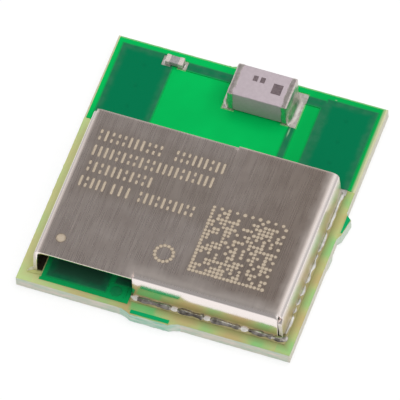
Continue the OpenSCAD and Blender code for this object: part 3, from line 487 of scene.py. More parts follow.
# %% Metal finishes
finishes = {"shield_sheet": shield_finish, "solder_mask": mask_finish, "laminate": laminate_finish}
for key, name, low, high, roughness, grain, depth in (
        # Molten tin that froze: a bright, soft mirror with faint dull islands of flux.
        ("solder", "reflowed_tin_solder", "#BDB8B0", "#F1EEE8", 0.13, 0.3, 0.004),
        # The same tin, painted darker: brownish grey, with paler patches as painted flashes.
        ("dull_solder", "flux_dulled_solder", "#6E665C", "#CFC9C0", 0.14, 0.2, 0.006),
        # Tin that climbed a chip's end: satin, thin and even.
        ("chip_solder", "satin_tin_solder", "#C4BEB6", "#E6E1DA", 0.3, 0.15, 0.002),
        # Tin plated on the chips' ends: a close, bright mirror, slightly frosted.
        ("terminal_tin", "bright_tin_plating", "#D4C9C4", "#ECE3DF", 0.4, 0.08, 0.0015),
        # Copper dipped in tin: pale and dull, with a hint of yellow.
        ("copper", "tinned_copper_foil", "#C2BEB2", "#DAD6CC", 0.45, 0.1, 0.002),
        # A breath of gold on nickel: yellow and satin.
        ("gilt_land", "gilt_nickel_land", "#D9B45A", "#EBCB78", 0.3, 0.2, 0.002),
        # Nickel-plated iron alloy: a grey satin plate.
        ("lid_metal", "plated_iron_alloy_lid", "#B4AFA2", "#CFCABE", 0.3, 0.2, 0.002),
        # Silver flakes in glue: dull grey with a coarse sparkle.
        ("adhesive", "silver_filled_adhesive", "#A9A9A6", "#C4C4C0", 0.5, 0.05, 0.004)):
    finishes[key] = grainy_finish(name, low, high, grain, depth, Metallic=1.0, Roughness=roughness)
# Solder drops painted nearly white with little metal: partly the tent's reflection, partly a painted glint.
finishes["drop"] = grainy_finish("solder_drop_with_painted_glint", "#E6E1DA", "#F8F5F0", 0.1, 0.001, Metallic=0.35,
                                 Roughness=0.35)
print("finishes up to the metals:", ", ".join(finishes))

# %% [markdown]
# ## Foil under old flux
# The ground foil shows beside the shield's walls. Behind the back wall it is tinned and bare. Further
# forward, flux ran along the walls and left an olive skin. Under the shield it gets painted shade, nearly
# black, and on the left, outside the shield, painted light that makes it paler. Two pieces of foil would
# meet in a straight line, so one finish fades from metal to flux along the board.

# %% Flux-coated foil
INSIDE_CAN, FOIL_SHADE_FADE = (-4.06, -4.34, 4.06, 1.34), (0.02, -0.04)
FLUX_FADE, LEFT_FOIL_FADE, BARE_METAL, COATED_METAL, FLUX_DEPTH = (1.28, 1.1), (-3.6, -3.8), 0.75, 0.1, 0.003

# Tinned copper under a skin of old flux: metal grey at the back, olive and satin where the flux ran.
foil_finish, tree, shader, place = new_finish("flux_coated_foil", Roughness=0.5)
axes = add(tree, "SeparateXYZ", place, out=None)
fluxed = add(tree, "MapRange", axes["Y"], *FLUX_FADE)
bare, _ = patchy(tree, place, "#CFCAC2", "#E8E4DE", 0.12)
coated, _ = patchy(tree, place, "#9C9464", "#B4AC7C", 0.3)
# Painted shade: the foil under the shield is painted nearly black.
burn_and_can_shade = add(tree, "MapRange", off_rectangles(tree, axes, [INSIDE_CAN]), *FOIL_SHADE_FADE)
# Painted light: the foil on the left is painted paler.
paler = add(tree, "MapRange", axes["X"], *LEFT_FOIL_FADE)
coated = tinted(tree, coated, (paler, "#C6CA84"), (burn_and_can_shade, "#282214"))
metal_share = add(tree, "MapRange", fluxed, 0, 1, BARE_METAL, COATED_METAL)
tree.links.new(metal_share, shader.inputs["Metallic"])
cover(tree, shader, tinted(tree, bare, (fluxed, coated)), burn_and_can_shade, FLUX_DEPTH)
finishes["flux_foil"] = foil_finish
print("flux from y =", FLUX_FADE[0], "mm to the front")

# %% [markdown]
# ## Ceramics, silicon and other small finishes
# The antenna is a pale lavender-grey ceramic, ground flat and matt, with printed dark ink. The parts under
# the shield are hardly seen and could share one grey, but each still gets its own fired, moulded or polished
# finish with a fine grain, so that it looks right when the shield is hidden.

# %% Ceramic finishes
for key, name, low, high, roughness, grain, depth in (
        # Ground glass-ceramic: chalky and even, with a cool violet tinge.
        ("antenna_ceramic", "ground_antenna_ceramic", "#B4A7AD", "#BAADB3", 0.5, 0.1, 0.001),
        # Ink fired into the ceramic: matt brown-grey.
        ("antenna_print", "fired_dark_ink", "#62555A", "#74676A", 0.55, 0.05, 0.002),
        # Silver paste fired on a small chip: matt and nearly white, a little pink.
        ("silvered", "fired_silver_ends", "#C6B8B4", "#D4C8C4", 0.5, 0.05, 0.0015),
        # Fired titanate: a dense, plain grey.
        ("grey_ceramic", "grey_capacitor_ceramic", "#8E8B8B", "#A29E9E", 0.45, 0.06, 0.002),
        # Fired barium titanate: sandy brown.
        ("capacitor_ceramic", "brown_capacitor_ceramic", "#937B62", "#A8917A", 0.45, 0.06, 0.002),
        # Layered glass-ceramic: cream and matt.
        ("filter_ceramic", "cream_filter_ceramic", "#CFCABB", "#DEDACE", 0.5, 0.1, 0.002),
        # Dark alumina: rough and nearly black.
        ("crystal_ceramic", "black_alumina_tub", "#3B332D", "#544A41", 0.6, 0.1, 0.003),
        # White alumina: chalky white.
        ("resistor_ceramic", "white_alumina", "#DDDAD2", "#EFEDE7", 0.6, 0.08, 0.002),
        # Glass glaze over a film: shiny black.
        ("resistor_film", "resistor_overglaze", "#1B1B1D", "#2B2B2E", 0.3, 0.08, 0.002),
        # Ground silicon: a dark, bluish sheen.
        ("silicon", "ground_silicon", "#26282D", "#34373D", 0.22, 0.05, 0.001),
        # Lapped quartz: frosted glass, nearly white.
        ("quartz", "lapped_quartz", "#D8DEE0", "#EDF2F3", 0.35, 0.1, 0.001)):
    finishes[key] = grainy_finish(name, low, high, grain, depth, Roughness=roughness, IOR=1.6,
                                  Specular_IOR_Level=0.35)
print("finishes in all:", len(finishes))

# %% [markdown]
# ## Finishes on the solids that stay
# Where a CAD solid already has the right shape, it only changes its finish. Its mesh isn't touched. The
# finish follows the record's material slot. Four solids differ from the others of their slot and are named
# here.

# %% Dress the solids
OWN_FINISHES = {"left_ground_foil": "flux_foil", "right_ground_foil": "flux_foil", "tail_foil": "flux_foil",
                "matching_capacitor_body": "grey_ceramic"}

for solid in frame["record"]["subparts"]:
    worn = nodes[solid["node"]].data.materials
    worn.clear()
    worn.append(finishes[OWN_FINISHES.get(solid["node"], solid["material_slot"])])

# %% [markdown]
# ## Pieces made again
# The solids are exact but sharp, and their bends have few facets. A Bevel modifier could round them, but not
# tear, lean or melt them, so the pieces that the eye meets first are made again in mesh code. Each one hides
# the solids it stands for, if any, and rides on the module's one body.

# %% Mesh helpers
def mesh_of(name, points, edges=(), faces=()):
    """A mesh from points in millimetres."""
    mesh = bpy.data.meshes.new(name)
    mesh.from_pydata([Vector(p)*MM for p in points], edges, faces)
    mesh.update()
    return mesh


def mesh_from(made, name):
    """A mesh from a finished bmesh, which goes."""
    mesh = bpy.data.meshes.new(name)
    made.to_mesh(mesh)
    made.free()
    return mesh


def loose(name, mesh):
    """An object in the scene that holds the mesh for now."""
    piece = bpy.data.objects.new(name, mesh)
    scene.collection.objects.link(piece)
    return piece


def settled(piece):
    """The piece's mesh with its modifiers applied. The piece itself goes."""
    bpy.context.view_layer.update()
    mesh = bpy.data.meshes.new_from_object(piece.evaluated_get(bpy.context.evaluated_depsgraph_get()))
    bpy.data.objects.remove(piece)
    return mesh


print("pieces are made in", scene.collection.name)


# %% Piece helper
def keep(name, mesh, finish, slot, *stands_for, sharp=38):
    """A finished piece of the module, with sharp edges above an angle in degrees."""
    mesh.name = name
    if not mesh.materials:
        mesh.materials.append(finish)
    mesh.shade_smooth()
    mesh.set_sharp_from_angle(angle=math.radians(sharp))
    piece = loose(name, mesh)
    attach(piece, "root")
    if stands_for:
        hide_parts(*stands_for)
    print(name, "has", len(mesh.polygons), "faces")


# %% [markdown]
# ## The routed board
# A module is one of many on a panel. A router cuts its sides, which leaves a rough edge of glass fibres, and
# the last tabs are broken by hand, which leaves torn faces. Displacement in a shader wouldn't show in the
# outline, so the rim of the solid is taken as it is, cut into short steps and many levels, and pushed
# inwards by noise: a little on the routed sides, more on the torn ones. The attribute "torn" tells the
# finish where the breaks are.

# %% Rim helpers
NEAR_Z, NEAR_POINT = 1e-3, 1e-4


def rims(node, height):
    """Closed rims of a solid's flat face at a height, each counter-clockwise, the widest first."""
    made = bmesh.new()
    made.from_mesh(nodes[node].data)
    bmesh.ops.remove_doubles(made, verts=made.verts, dist=NEAR_POINT*MM)
    at_height = {v for v in made.verts if abs(v.co.z/MM - height) < NEAR_Z}
    left = {e for e in made.edges if set(e.verts) <= at_height
            and len({abs(f.normal.z) > 0.5 for f in e.link_faces}) == 2}
    found = []
    while left:
        edge = left.pop()
        first, here = edge.verts
        rim = [first]
        while here is not first:
            rim.append(here)
            edge = next(e for e in here.link_edges if e in left)
            left.discard(edge)
            here = edge.other_vert(here)
        rim = [v.co.xy/MM for v in rim]
        turning = sum(a.cross(b) for a, b in zip(rim, rim[1:] + rim[:1]))
        found.append(rim if turning > 0 else rim[::-1])
    made.free()
    return sorted(found, key=lambda rim: max(p.x for p in rim) - min(p.x for p in rim), reverse=True)


def stepped(rim, step):
    """The rim again, with points no further apart than step."""
    points = []
    for a, b in zip(rim, rim[1:] + rim[:1]):
        count = max(1, math.ceil((b - a).length/step))
        points += [a.lerp(b, i/count) for i in range(count)]
    return points


outline, *via_holes = rims("laminate", BOARD_TOP)
print("the laminate has a rim of", len(outline), "points and", len(via_holes), "via holes")

# %% Board sides
BOARD_BOTTOM, HALF_WIDTH, HALF_LENGTH, EDGE_STEP, EDGE_ROUND, EDGE_LEVELS = 0.05, 4.55, 4.8, 0.06, 0.014, 8
ROUTER_ROUGH, TORN_ROUGH, TORN_FROM, ROUGH_GRAINS = 0.016, 0.05, 0.015, ((7, 9), (17, 4))
SPLINTER_Y, SPLINTER_HALF, SPLINTER_OUT, SPLINTER_TOP, SPLINTER_FROM = -0.99, 0.32, 0.04, 0.27, 0.01
SPLINTER_SLOPE = 1.8

outline = stepped(outline, EDGE_STEP)
levels = [(BOARD_BOTTOM, EDGE_ROUND), (BOARD_BOTTOM + EDGE_ROUND, 0)]
levels += [(BOARD_BOTTOM + (BOARD_TOP - BOARD_BOTTOM)*i/EDGE_LEVELS, 0) for i in range(1, EDGE_LEVELS)]
levels += [(BOARD_TOP - EDGE_ROUND, 0), (BOARD_TOP, EDGE_ROUND)]
board = bmesh.new()
torn = board.verts.layers.float.new("torn")
rows = []
for z, inset in levels:
    row = []
    for i, p in enumerate(outline):
        along = outline[(i + 1) % len(outline)] - outline[i - 1]
        outward = Vector((along.y, -along.x)).normalized()
        on_stub = abs(p.x) > HALF_WIDTH + TORN_FROM or abs(p.y) > HALF_LENGTH + TORN_FROM
        break_share = 1.0 if on_stub else 0.0
        rough = sum(noise.noise(Vector((p.x*side, p.y*side, z*rise)))*0.5 for side, rise in ROUGH_GRAINS)
        depth = (TORN_ROUGH if on_stub else ROUTER_ROUGH)*(0.5 + 0.5*rough) + inset
        if z < SPLINTER_TOP and p.x > HALF_WIDTH - SPLINTER_FROM:
            splinter = max(0.0, 1 - abs(p.y - SPLINTER_Y)/SPLINTER_HALF)
            depth -= SPLINTER_OUT*min(1.0, SPLINTER_SLOPE*splinter)
            break_share = max(break_share, splinter)
        v = board.verts.new(Vector((*(p - outward*depth), z))*MM)
        v[torn] = break_share
        row.append(v)
    rows.append(row)
for low, high in zip(rows, rows[1:]):
    for i in range(len(outline)):
        board.faces.new((low[i - 1], low[i], high[i], high[i - 1]))
print("board sides of", len(board.faces), "faces")

# %% Board faces
hole_rims = {BOARD_BOTTOM: [], BOARD_TOP: []}
for hole in via_holes:
    ends = [[board.verts.new(Vector((*p, z))*MM) for p in hole] for z in hole_rims]
    for i in range(len(hole)):
        board.faces.new((ends[0][i], ends[0][i - 1], ends[1][i - 1], ends[1][i]))
    for z, end in zip(hole_rims, ends):
        hole_rims[z].append(end)
for z, rim in ((BOARD_BOTTOM, rows[0]), (BOARD_TOP, rows[-1])):
    loops = (rim, *hole_rims[z])
    edges = [board.edges.get((loop[i - 1], loop[i])) for loop in loops for i in range(len(loop))]
    bmesh.ops.triangle_fill(board, use_beauty=True, use_dissolve=False, edges=edges)
bmesh.ops.recalc_face_normals(board, faces=board.faces)
keep("routed_board", mesh_from(board, "routed_board"), laminate_finish, "laminate", "laminate", sharp=50)

# %% [markdown]
# ## The folded shield
# The shield is one sheet, 0.12 mm thick, cut flat and folded: first into a channel with two long side walls,
# then one end wall folded down at the front right and its twin at the back left. The walls sprang back a
# little and lean outwards, and the back fold is sharper than the front one. A box with a bevel would close
# the slits that the folding needs. Here the outer skin is laid out as a grid over the channel, the cells of
# the slits and notches are left out, each end wall is a second grid that shares the channel's points, and
# Solidify gives the sheet its thickness.

# %% Shield walls
PLATE_X, FRONT_Y, BACK_Y, FOOT_Z = 3.85, -4.3, 1.3, 0.53
SIDE_BEND, END_BEND, SIDE_LEAN, END_LEAN = 0.235, 0.23, math.radians(6), math.radians(3.5)
END_WALL_X, BACK_FOLD, BEND_STEPS = (-0.8, 3.97), 0.17, 11
WALL_STEPS = (0.06, 0.1, 0.14, 0.19, 0.25, 0.33, 0.45, 0.6, 0.75, 0.88, 1)

end_turn = math.asin((END_WALL_X[1] - PLATE_X)/SIDE_BEND)


def round_bend(bend, lean):
    """Reach and height along a round bend, from the flat top to a wall."""
    last_turn = math.pi/2 - lean
    turns = [0.0] + [end_turn + (last_turn - end_turn)*i/BEND_STEPS for i in range(BEND_STEPS + 1)]
    return [(bend*math.sin(a), TOP_Z - bend*(1 - math.cos(a))) for a in turns]


def folded_wall(bend, lean):
    """Reach and height down a bend and the wall below it, which leans outwards, less and less to its foot."""
    points = list(bend)
    reach, height = points[-1]
    tall = height - FOOT_Z
    for share in WALL_STEPS:
        points.append((reach + lean*tall*(share - share**2/2), height - tall*share))
    return points


side_wall = folded_wall(round_bend(SIDE_BEND, SIDE_LEAN), SIDE_LEAN)
end_wall = folded_wall(round_bend(END_BEND, END_LEAN), END_LEAN)
back_wall = folded_wall([(0.0, TOP_Z), (BACK_FOLD/2, TOP_Z), (BACK_FOLD, TOP_Z)], 2*END_LEAN)
SIDE_FOOT, FRONT_FOOT = PLATE_X + side_wall[-1][0], FRONT_Y + END_BEND - end_wall[-1][0]
print("feet at", round(SIDE_FOOT, 3), "and", round(FRONT_FOOT, 3), "mm")

# %% Shield channel
NOTCH, NOTCH_Z, LONG_STEPS, PLATE_STEP, PLATE_STEPS = 0.14, 1.41, 16, 0.3, 12

section = [(PLATE_X + reach, z) for reach, z in side_wall]
plate_x = {round(PLATE_STEP*i, 3) for i in range(-PLATE_STEPS, PLATE_STEPS + 1)}
plate_x |= {END_WALL_X[0], -END_WALL_X[0]}
channel = [(-x, z) for x, z in reversed(section)] + [(x, TOP_Z) for x in sorted(plate_x)] + section
near_end = (0.0, 0.03, 0.07, NOTCH, END_BEND)
middle_l = BACK_Y - FRONT_Y - 2*END_BEND
channel_y = [FRONT_Y + d for d in near_end]
channel_y += [FRONT_Y + END_BEND + middle_l*i/LONG_STEPS for i in range(1, LONG_STEPS)]
channel_y += [BACK_Y - d for d in reversed(near_end)]


def cut_away(x, y, z):
    """True where the flat sheet was cut out at the front."""
    if z < NOTCH_Z:
        return False
    over_wall = END_WALL_X[0] < x < END_WALL_X[1] and y < FRONT_Y + END_BEND
    return over_wall or (x > END_WALL_X[1] and y < FRONT_Y + NOTCH)


print("channel of", len(channel), "by", len(channel_y), "points")

# %% [markdown]
# ## The shield's skin
# No sheet stays quite flat: the top waves by a thousandth of a millimetre, so that its mirror isn't perfect,
# the cut edges roll over, the lip at the front left stands forwards, and the side walls have round corners
# beside the end walls. Sculpting could do that by hand. Here each point is moved by rule as it is made, so
# the sizes can change later.

# %% Shield points
CORNER_ROUND, EDGE_ROLL, EDGE_DROP, LIP_OUT, LEFT_IN, RIGHT_OUT = 0.12, 0.1, 0.012, 0.06, 0.04, 0.03
TOP_WAVE, TOP_WAVES_PER_MM, TOP_WAVE_SEED, HAIR = 0.0009, 0.9, 3, 1e-6

skin = bmesh.new()
placed = {}


def corner(x, y, z, rolled=True):
    """The skin's vertex at a place, made once and moved as the sheet bends there."""
    key = (round(x, 4), round(y, 4), round(z, 4))
    if key in placed:
        return placed[key]
    dip = 0
    if z > TOP_Z - HAIR:
        dip = TOP_WAVE*(1 + noise.noise(Vector((x*TOP_WAVES_PER_MM, y*TOP_WAVES_PER_MM, TOP_WAVE_SEED))))
    if rolled:
        near = max(0.0, 1 - min(y - FRONT_Y, BACK_Y - y)/EDGE_ROLL)
        dip += EDGE_DROP*near**2*max(0.0, 1 - (TOP_Z - z)/EDGE_ROLL)
    for end, side in ((FRONT_Y, 1), (BACK_Y, -1)):
        rise, inwards = z - (NOTCH_Z - CORNER_ROUND), (y - end)*side
        if x*side > END_WALL_X[1] + HAIR and inwards < NOTCH and rise > 0:
            pulled = CORNER_ROUND - math.sqrt(max(0.0, CORNER_ROUND**2 - rise**2))
            y += side*pulled*(1 - inwards/NOTCH)
    if rolled and x < END_WALL_X[0] + HAIR and y < FRONT_Y + NOTCH:
        y -= LIP_OUT*(1 - (y - FRONT_Y)/NOTCH)
    if x < -PLATE_X + HAIR:
        x += LEFT_IN
    if x > PLATE_X - HAIR:
        x += RIGHT_OUT
    placed[key] = skin.verts.new(Vector((x, y, z - dip))*MM)
    return placed[key]


print("cut edges roll over by", EDGE_DROP, "mm")

# %% Shield skin
for (x0, z0), (x1, z1) in zip(channel, channel[1:]):
    for y0, y1 in zip(channel_y, channel_y[1:]):
        x, y, z = (x0 + x1)/2, (y0 + y1)/2, (z0 + z1)/2
        if not cut_away(x, y, z) and not cut_away(-x, FRONT_Y + BACK_Y - y, z):
            skin.faces.new((corner(x0, y0, z0), corner(x1, y0, z1), corner(x1, y1, z1), corner(x0, y1, z0)))
for side, end, wall in ((1, FRONT_Y, end_wall), (-1, BACK_Y, back_wall)):
    columns = []
    for x, z in channel:
        if END_WALL_X[0] - HAIR < x*side < END_WALL_X[1] + HAIR and z > NOTCH_Z:
            low = (TOP_Z - z)/(TOP_Z - FOOT_Z)
            columns.append([corner(x, end + side*(END_BEND - reach), height - low*(height - FOOT_Z), False)
                            for reach, height in wall])
    for one, other in zip(columns, columns[1:]):
        for i in range(len(wall) - 1):
            quad = (one[i], one[i + 1], other[i + 1], other[i])
            skin.faces.new(quad if side > 0 else quad[::-1])
mesh = mesh_from(skin, "shield_skin")
print("skin of", len(mesh.polygons), "cells")

# %% Shield thickness
SHEET, DEBURRED, DEBUR_STEPS, DEBUR_FROM = 0.12, 0.012, 2, math.radians(50)

sheet = loose("shield_skin", mesh)
thick = sheet.modifiers.new("sheet", "SOLIDIFY")
thick.thickness, thick.offset, thick.use_even_offset = SHEET*MM, -1, True
deburr = sheet.modifiers.new("deburred", "BEVEL")
deburr.width, deburr.segments = DEBURRED*MM, DEBUR_STEPS
deburr.limit_method, deburr.angle_limit = "ANGLE", DEBUR_FROM
keep("folded_shield", settled(sheet), shield_finish, "shield_sheet", "shield_can")

# %% [markdown]
# ## Node trees that make shapes
# What repeats or follows a path is made by Geometry Nodes. All trees here start with named inputs and end
# alike: their instances become real, because the export drops instances, and get their material. Two
# functions do that, and a third runs a tree on an object and takes its mesh.

# %% Tree helpers
def new_tree(name, **inputs):
    """A Geometry Nodes tree with named inputs, and their sockets."""
    tree = bpy.data.node_groups.new(name, "GeometryNodeTree")
    for socket, kind in inputs.items():
        tree.interface.new_socket(name=socket, in_out="INPUT", socket_type="NodeSocket" + kind)
    tree.interface.new_socket(name="Made", in_out="OUTPUT", socket_type="NodeSocketGeometry")
    return tree, add(tree, "NodeGroupInput", out=None)


def close_tree(tree, shape, finish):
    """Ends a tree in real geometry with its material."""
    shape = add(tree, "GeometryNodeRealizeInstances", shape)
    shape = add(tree, "GeometryNodeSetMaterial", shape, {"Material": finish})
    add(tree, "NodeGroupOutput", shape, out=None)
    print(tree.name, "tree of", len(tree.nodes), "nodes")


def run_nodes(host, tree, **values):
    """The mesh that a node tree makes from a host object and named inputs."""
    on_host = host.modifiers.new(tree.name, "NODES")
    on_host.node_group = tree
    for name, value in values.items():
        on_host[tree.interface.items_tree[name].identifier] = value
    return settled(host)


print("node trees so far:", len(bpy.data.node_groups))

# %% [markdown]
# ## Solder beads
# Molten solder climbs a wall and pulls itself into a hollow wedge, uneven where flux or a void was in its
# way. Such a wedge follows the foot of every wall. A bevelled curve would be even and round, so it is a
# Geometry Nodes sweep: a hollow three-sided outline is drawn along a path, scaled by noise along the way and
# tapered at both ends. One tree makes all the beads, each with its own seed.

# %% Bead outline
OUTLINE_POINTS, HOLLOW = 9, 1.7

bead_tree, given = new_tree("solder_bead", Path="Geometry", Width="Float", Height="Float", Unevenness="Float",
                            Lump="Float", Seed="Float", Solder="Material")
index = add(bead_tree, "GeometryNodeInputIndex")
on_curve = add(bead_tree, "Math", index, OUTLINE_POINTS - 1.5, operation="LESS_THAN")
climb = add(bead_tree, "Math", index, OUTLINE_POINTS - 2, operation="DIVIDE")
fall = add(bead_tree, "Math", 1.0, climb, operation="SUBTRACT")
sides = []
for share, size in ((fall, given["Width"]), (climb, given["Height"])):
    hollow = add(bead_tree, "Math", share, HOLLOW, operation="POWER")
    hollow = add(bead_tree, "Math", hollow, on_curve, operation="MULTIPLY")
    sides.append(add(bead_tree, "Math", hollow, size, operation="MULTIPLY"))
down = add(bead_tree, "Math", sides[1], -1.0, operation="MULTIPLY")
profile = add(bead_tree, "GeometryNodeMeshLine", {"Count": OUTLINE_POINTS})
spots = add(bead_tree, "CombineXYZ", sides[0], down)
profile = add(bead_tree, "GeometryNodeSetPosition", profile, {"Position": spots})
profile = add(bead_tree, "GeometryNodeMeshToCurve", profile)
profile = add(bead_tree, "GeometryNodeSetSplineCyclic", profile, {"Cyclic": True})
print("bead outline of", OUTLINE_POINTS, "points")

# %% Bead sweep
PATH_STEP, END_SHARE = 0.035, 0.3

path = add(bead_tree, "GeometryNodeMeshToCurve", given["Path"])
path = add(bead_tree, "GeometryNodeResampleCurve", path, {"Length": PATH_STEP*MM}, mode="LENGTH")
path = add(bead_tree, "GeometryNodeSetCurveNormal", path, mode="Z_UP")
position = add(bead_tree, "GeometryNodeInputPosition")
lumps_per_metre = add(bead_tree, "Math", 1.0, given["Lump"], operation="DIVIDE")
swing = add(bead_tree, "TexNoise", {"Vector": position, "W": given["Seed"], "Scale": lumps_per_metre,
                                    "Detail": 1.0}, noise_dimensions="4D")
swing = add(bead_tree, "Math", swing, 0.5, operation="SUBTRACT")
swing = add(bead_tree, "Math", swing, given["Unevenness"], 1.0, operation="MULTIPLY_ADD")
walked = add(bead_tree, "GeometryNodeSplineParameter", out="Factor")
from_middle = add(bead_tree, "Math", walked, 0.5, operation="SUBTRACT")
from_middle = add(bead_tree, "Math", from_middle, operation="ABSOLUTE")
from_end = add(bead_tree, "Math", 0.5, from_middle, operation="SUBTRACT")
whole_length = add(bead_tree, "GeometryNodeSplineLength")
from_end = add(bead_tree, "Math", from_end, whole_length, operation="MULTIPLY")
taper = add(bead_tree, "MapRange", from_end, 0, given["Width"], END_SHARE, interpolation_type="SMOOTHSTEP")
scale = add(bead_tree, "Math", taper, swing, operation="MULTIPLY")
swept = add(bead_tree, "GeometryNodeCurveToMesh", path, profile, {"Scale": scale, "Fill Caps": True})
close_tree(bead_tree, swept, given["Solder"])

# %% [markdown]
# ## Where the solder lies
# The front wall has darker beads with drops between them, which are painted nearly white as glints, the
# right wall bright short runs, and the other two walls one long run each. A spike, painted white like the
# drops, was pulled out at the front left corner, and tin climbed both chips' ends. Most paths start from the
# foot of the shield's wall or from a chip's own box, a little inside it, so nothing floats.

# %% Bead paths
SUNK, LAND_Z, DROP_HALF = 0.015, 0.507, 0.17
FRONT_LINE, BACK_LINE = FRONT_FOOT + SUNK, BACK_Y + 0.04
RIGHT_LINE, LEFT_LINE = SIDE_FOOT + RIGHT_OUT - SUNK, LEFT_IN + SUNK - SIDE_FOOT
FRONT_RUNS, FRONT_DROPS = [(-0.74, 0.54), (0.62, 1.6), (1.72, 2.83), (2.97, 3.9)], (-0.7, 0.58, 1.66, 2.9)
FRONT_CORNER = [(3.8, 0.03), (4.05, 0), (4.18, 0.06), (4.18, 0.24)]
RIGHT_RUNS = [(-4.15, -3.36), (-3.32, -3.05), (-3.01, -2.7), (-2.65, -2.21), (-2.16, -1.0), (-0.95, -0.14),
              (-0.1, 1.4)]
BACK_RUN, LEFT_RUN, SPIKE = (0.83, -3.86), (1.34, -4.25), ((-4.06, -4.22), (-4.1, -4.36), (-4.27, -4.45))

front_paths = [[(x, FRONT_LINE) for x in run] for run in FRONT_RUNS]
front_paths.append([(x, FRONT_FOOT + y) for x, y in FRONT_CORNER])
right_paths = [[(RIGHT_LINE, y) for y in run] for run in RIGHT_RUNS]
drop_paths = [[(x - DROP_HALF, FRONT_LINE), (x + DROP_HALF, FRONT_LINE)] for x in FRONT_DROPS]


def chip_ends(node):
    """Paths at the foot of a chip's two ends."""
    low, high = (end/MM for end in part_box(node))
    return [((high.x - SUNK, low.y + SUNK), (high.x - SUNK, high.y - SUNK)),
            ((low.x + SUNK, high.y - SUNK), (low.x + SUNK, low.y + SUNK))]


print("bead paths:", len(front_paths), "at the front and", len(right_paths), "at the right")

# %% Lay the beads
BEADS = [
    # name, paths with the wall on their left, width, height, unevenness, lump, seed, finish, replaced solid
    # The front beads are painted darker, and the spike and the drops are painted nearly white as glints.
    ("front_wall_solder", front_paths, 0.12, 0.18, 1.6, 0.32, 3.0, "dull_solder", "shield_solder_front"),
    ("right_wall_solder", right_paths, 0.1, 0.12, 1.6, 0.3, 8.0, "solder", "shield_solder_right"),
    ("back_wall_solder", [[(x, BACK_LINE) for x in BACK_RUN]], 0.12, 0.16, 1.0, 0.4, 14.0, "solder",
     "shield_solder_back"),
    ("left_wall_solder", [[(LEFT_LINE, y) for y in LEFT_RUN]], 0.1, 0.12, 1.6, 0.4, 21.0, "solder",
     "shield_solder_left"),
    ("front_left_spike", [SPIKE], 0.12, 0.2, 0.4, 0.3, 5.0, "drop"),
    ("front_drops", drop_paths, 0.13, 0.14, 0.4, 0.3, 6.0, "drop"),
    ("antenna_end_solder", chip_ends("antenna_terminals"), 0.24, 0.55, 0.3, 0.6, 30.0, "chip_solder",
     "antenna_solder"),
    ("capacitor_end_solder", chip_ends("matching_capacitor_terminals"), 0.09, 0.16, 0.4, 0.2, 41.0, "solder",
     "matching_capacitor_solder"),
]
for name, paths, width, height, uneven, lump, seed, finish, *stands_for in BEADS:
    points, links = [], []
    for line in paths:
        links += [(len(points) + i, len(points) + i + 1) for i in range(len(line) - 1)]
        points += [(*p, LAND_Z) for p in line]
    route = loose(name, mesh_of(name, points, links))
    mesh = run_nodes(route, bead_tree, Width=width*MM, Height=height*MM, Unevenness=uneven, Lump=lump*MM,
                     Seed=seed, Solder=finishes[finish])
    keep(name, mesh, finishes[finish], "solder", *stands_for, sharp=60)
    print("  reaches", [round(max(v.co[i] for v in mesh.vertices)/MM, 2) for i in range(3)])

# %% [markdown]
# ## Laser marks
# A laser burns the shield's marks: a square of dots with two solid edges, a few rows of ticks, a ring, and a
# disc at the first corner. Each mark has a pale melted core and a brown rim, which no bump alone would show,
# so it is a low mesh of its own with few faces, and carries its rim's place in the attribute "burn".

# %% Mark shapes
MARK_TURNS = 12
# Share of the width, height and burn of each ring of a mark, from below the sheet to the melted core.
MARK_RINGS = ((1.0, -0.004, 1.0), (1.0, 0.0007, 0.95), (0.82, 0.0022, 0.3), (0.55, 0.0045, 0.0))


def laser_mark(name, width, *bars):
    """A low melted mark on z = 0: bars given by their middle in Y and length, or a dot as long as wide."""
    points, burn, faces = [], [], []
    for middle, length in bars:
        first, straight = len(points), (length - width)/2
        for share, z, dark in MARK_RINGS:
            for i in range(MARK_TURNS):
                a = 2*math.pi*(i + 0.5)/MARK_TURNS
                y = middle + share*width/2*math.sin(a) + math.copysign(straight, math.sin(a))
                points.append((share*width/2*math.cos(a), y, z))
                burn.append(dark)
        rings = [range(first + n*MARK_TURNS, first + (n + 1)*MARK_TURNS) for n in range(len(MARK_RINGS))]
        for low, high in zip(rings, rings[1:]):
            for i in range(MARK_TURNS):
                after = (i + 1) % MARK_TURNS
                faces.append((low[i], low[after], high[after], high[i]))
        faces += [tuple(reversed(rings[0])), tuple(rings[-1])]
    mesh = mesh_of(name, points, faces=faces)
    mesh.attributes.new("burn", "FLOAT", "POINT").data.foreach_set("value", burn)
    return loose(name, mesh)


print("a mark has", MARK_TURNS*len(MARK_RINGS), "points")

# %% Mark finish
RIPPLES_PER_MM, MELT_DEPTH = 22.0, 0.004

# Nickel silver that melted and froze in air: a pale, matt, oxidised core in a brown rim.
mark_finish, tree, shader, place = new_finish("laser_burnt_nickel_silver", Roughness=0.55, Metallic=0.25)
burn_and_can_shade = add(tree, "Attribute", out="Fac", attribute_name="burn")
# Frozen ripples are about 0.01 mm. These are 0.045 mm, which still shows.
melted = add(tree, "TexNoise", {"Vector": place, "Scale": RIPPLES_PER_MM, "Detail": 3.0})
colour = tinted(tree, paint("#AE9D88"), (melted, "#D3C4B0"), (burn_and_can_shade, "#5E4F43"))
cover(tree, shader, colour, melted, MELT_DEPTH)
print("mark finish of", len(tree.nodes), "nodes")

# %% [markdown]
# ## Dots on a grid
# The square has two solid edges, two edges of every other dot, and dots by chance inside, which encode
# nothing. A list of dots would be long, so a tree sets them on a grid: the column and the row of each point
# tell its edge, and a seeded random value chooses the rest.

# %% Dot square nodes
SMALL_DOT, LARGE_DOT = 0.85, 1.1

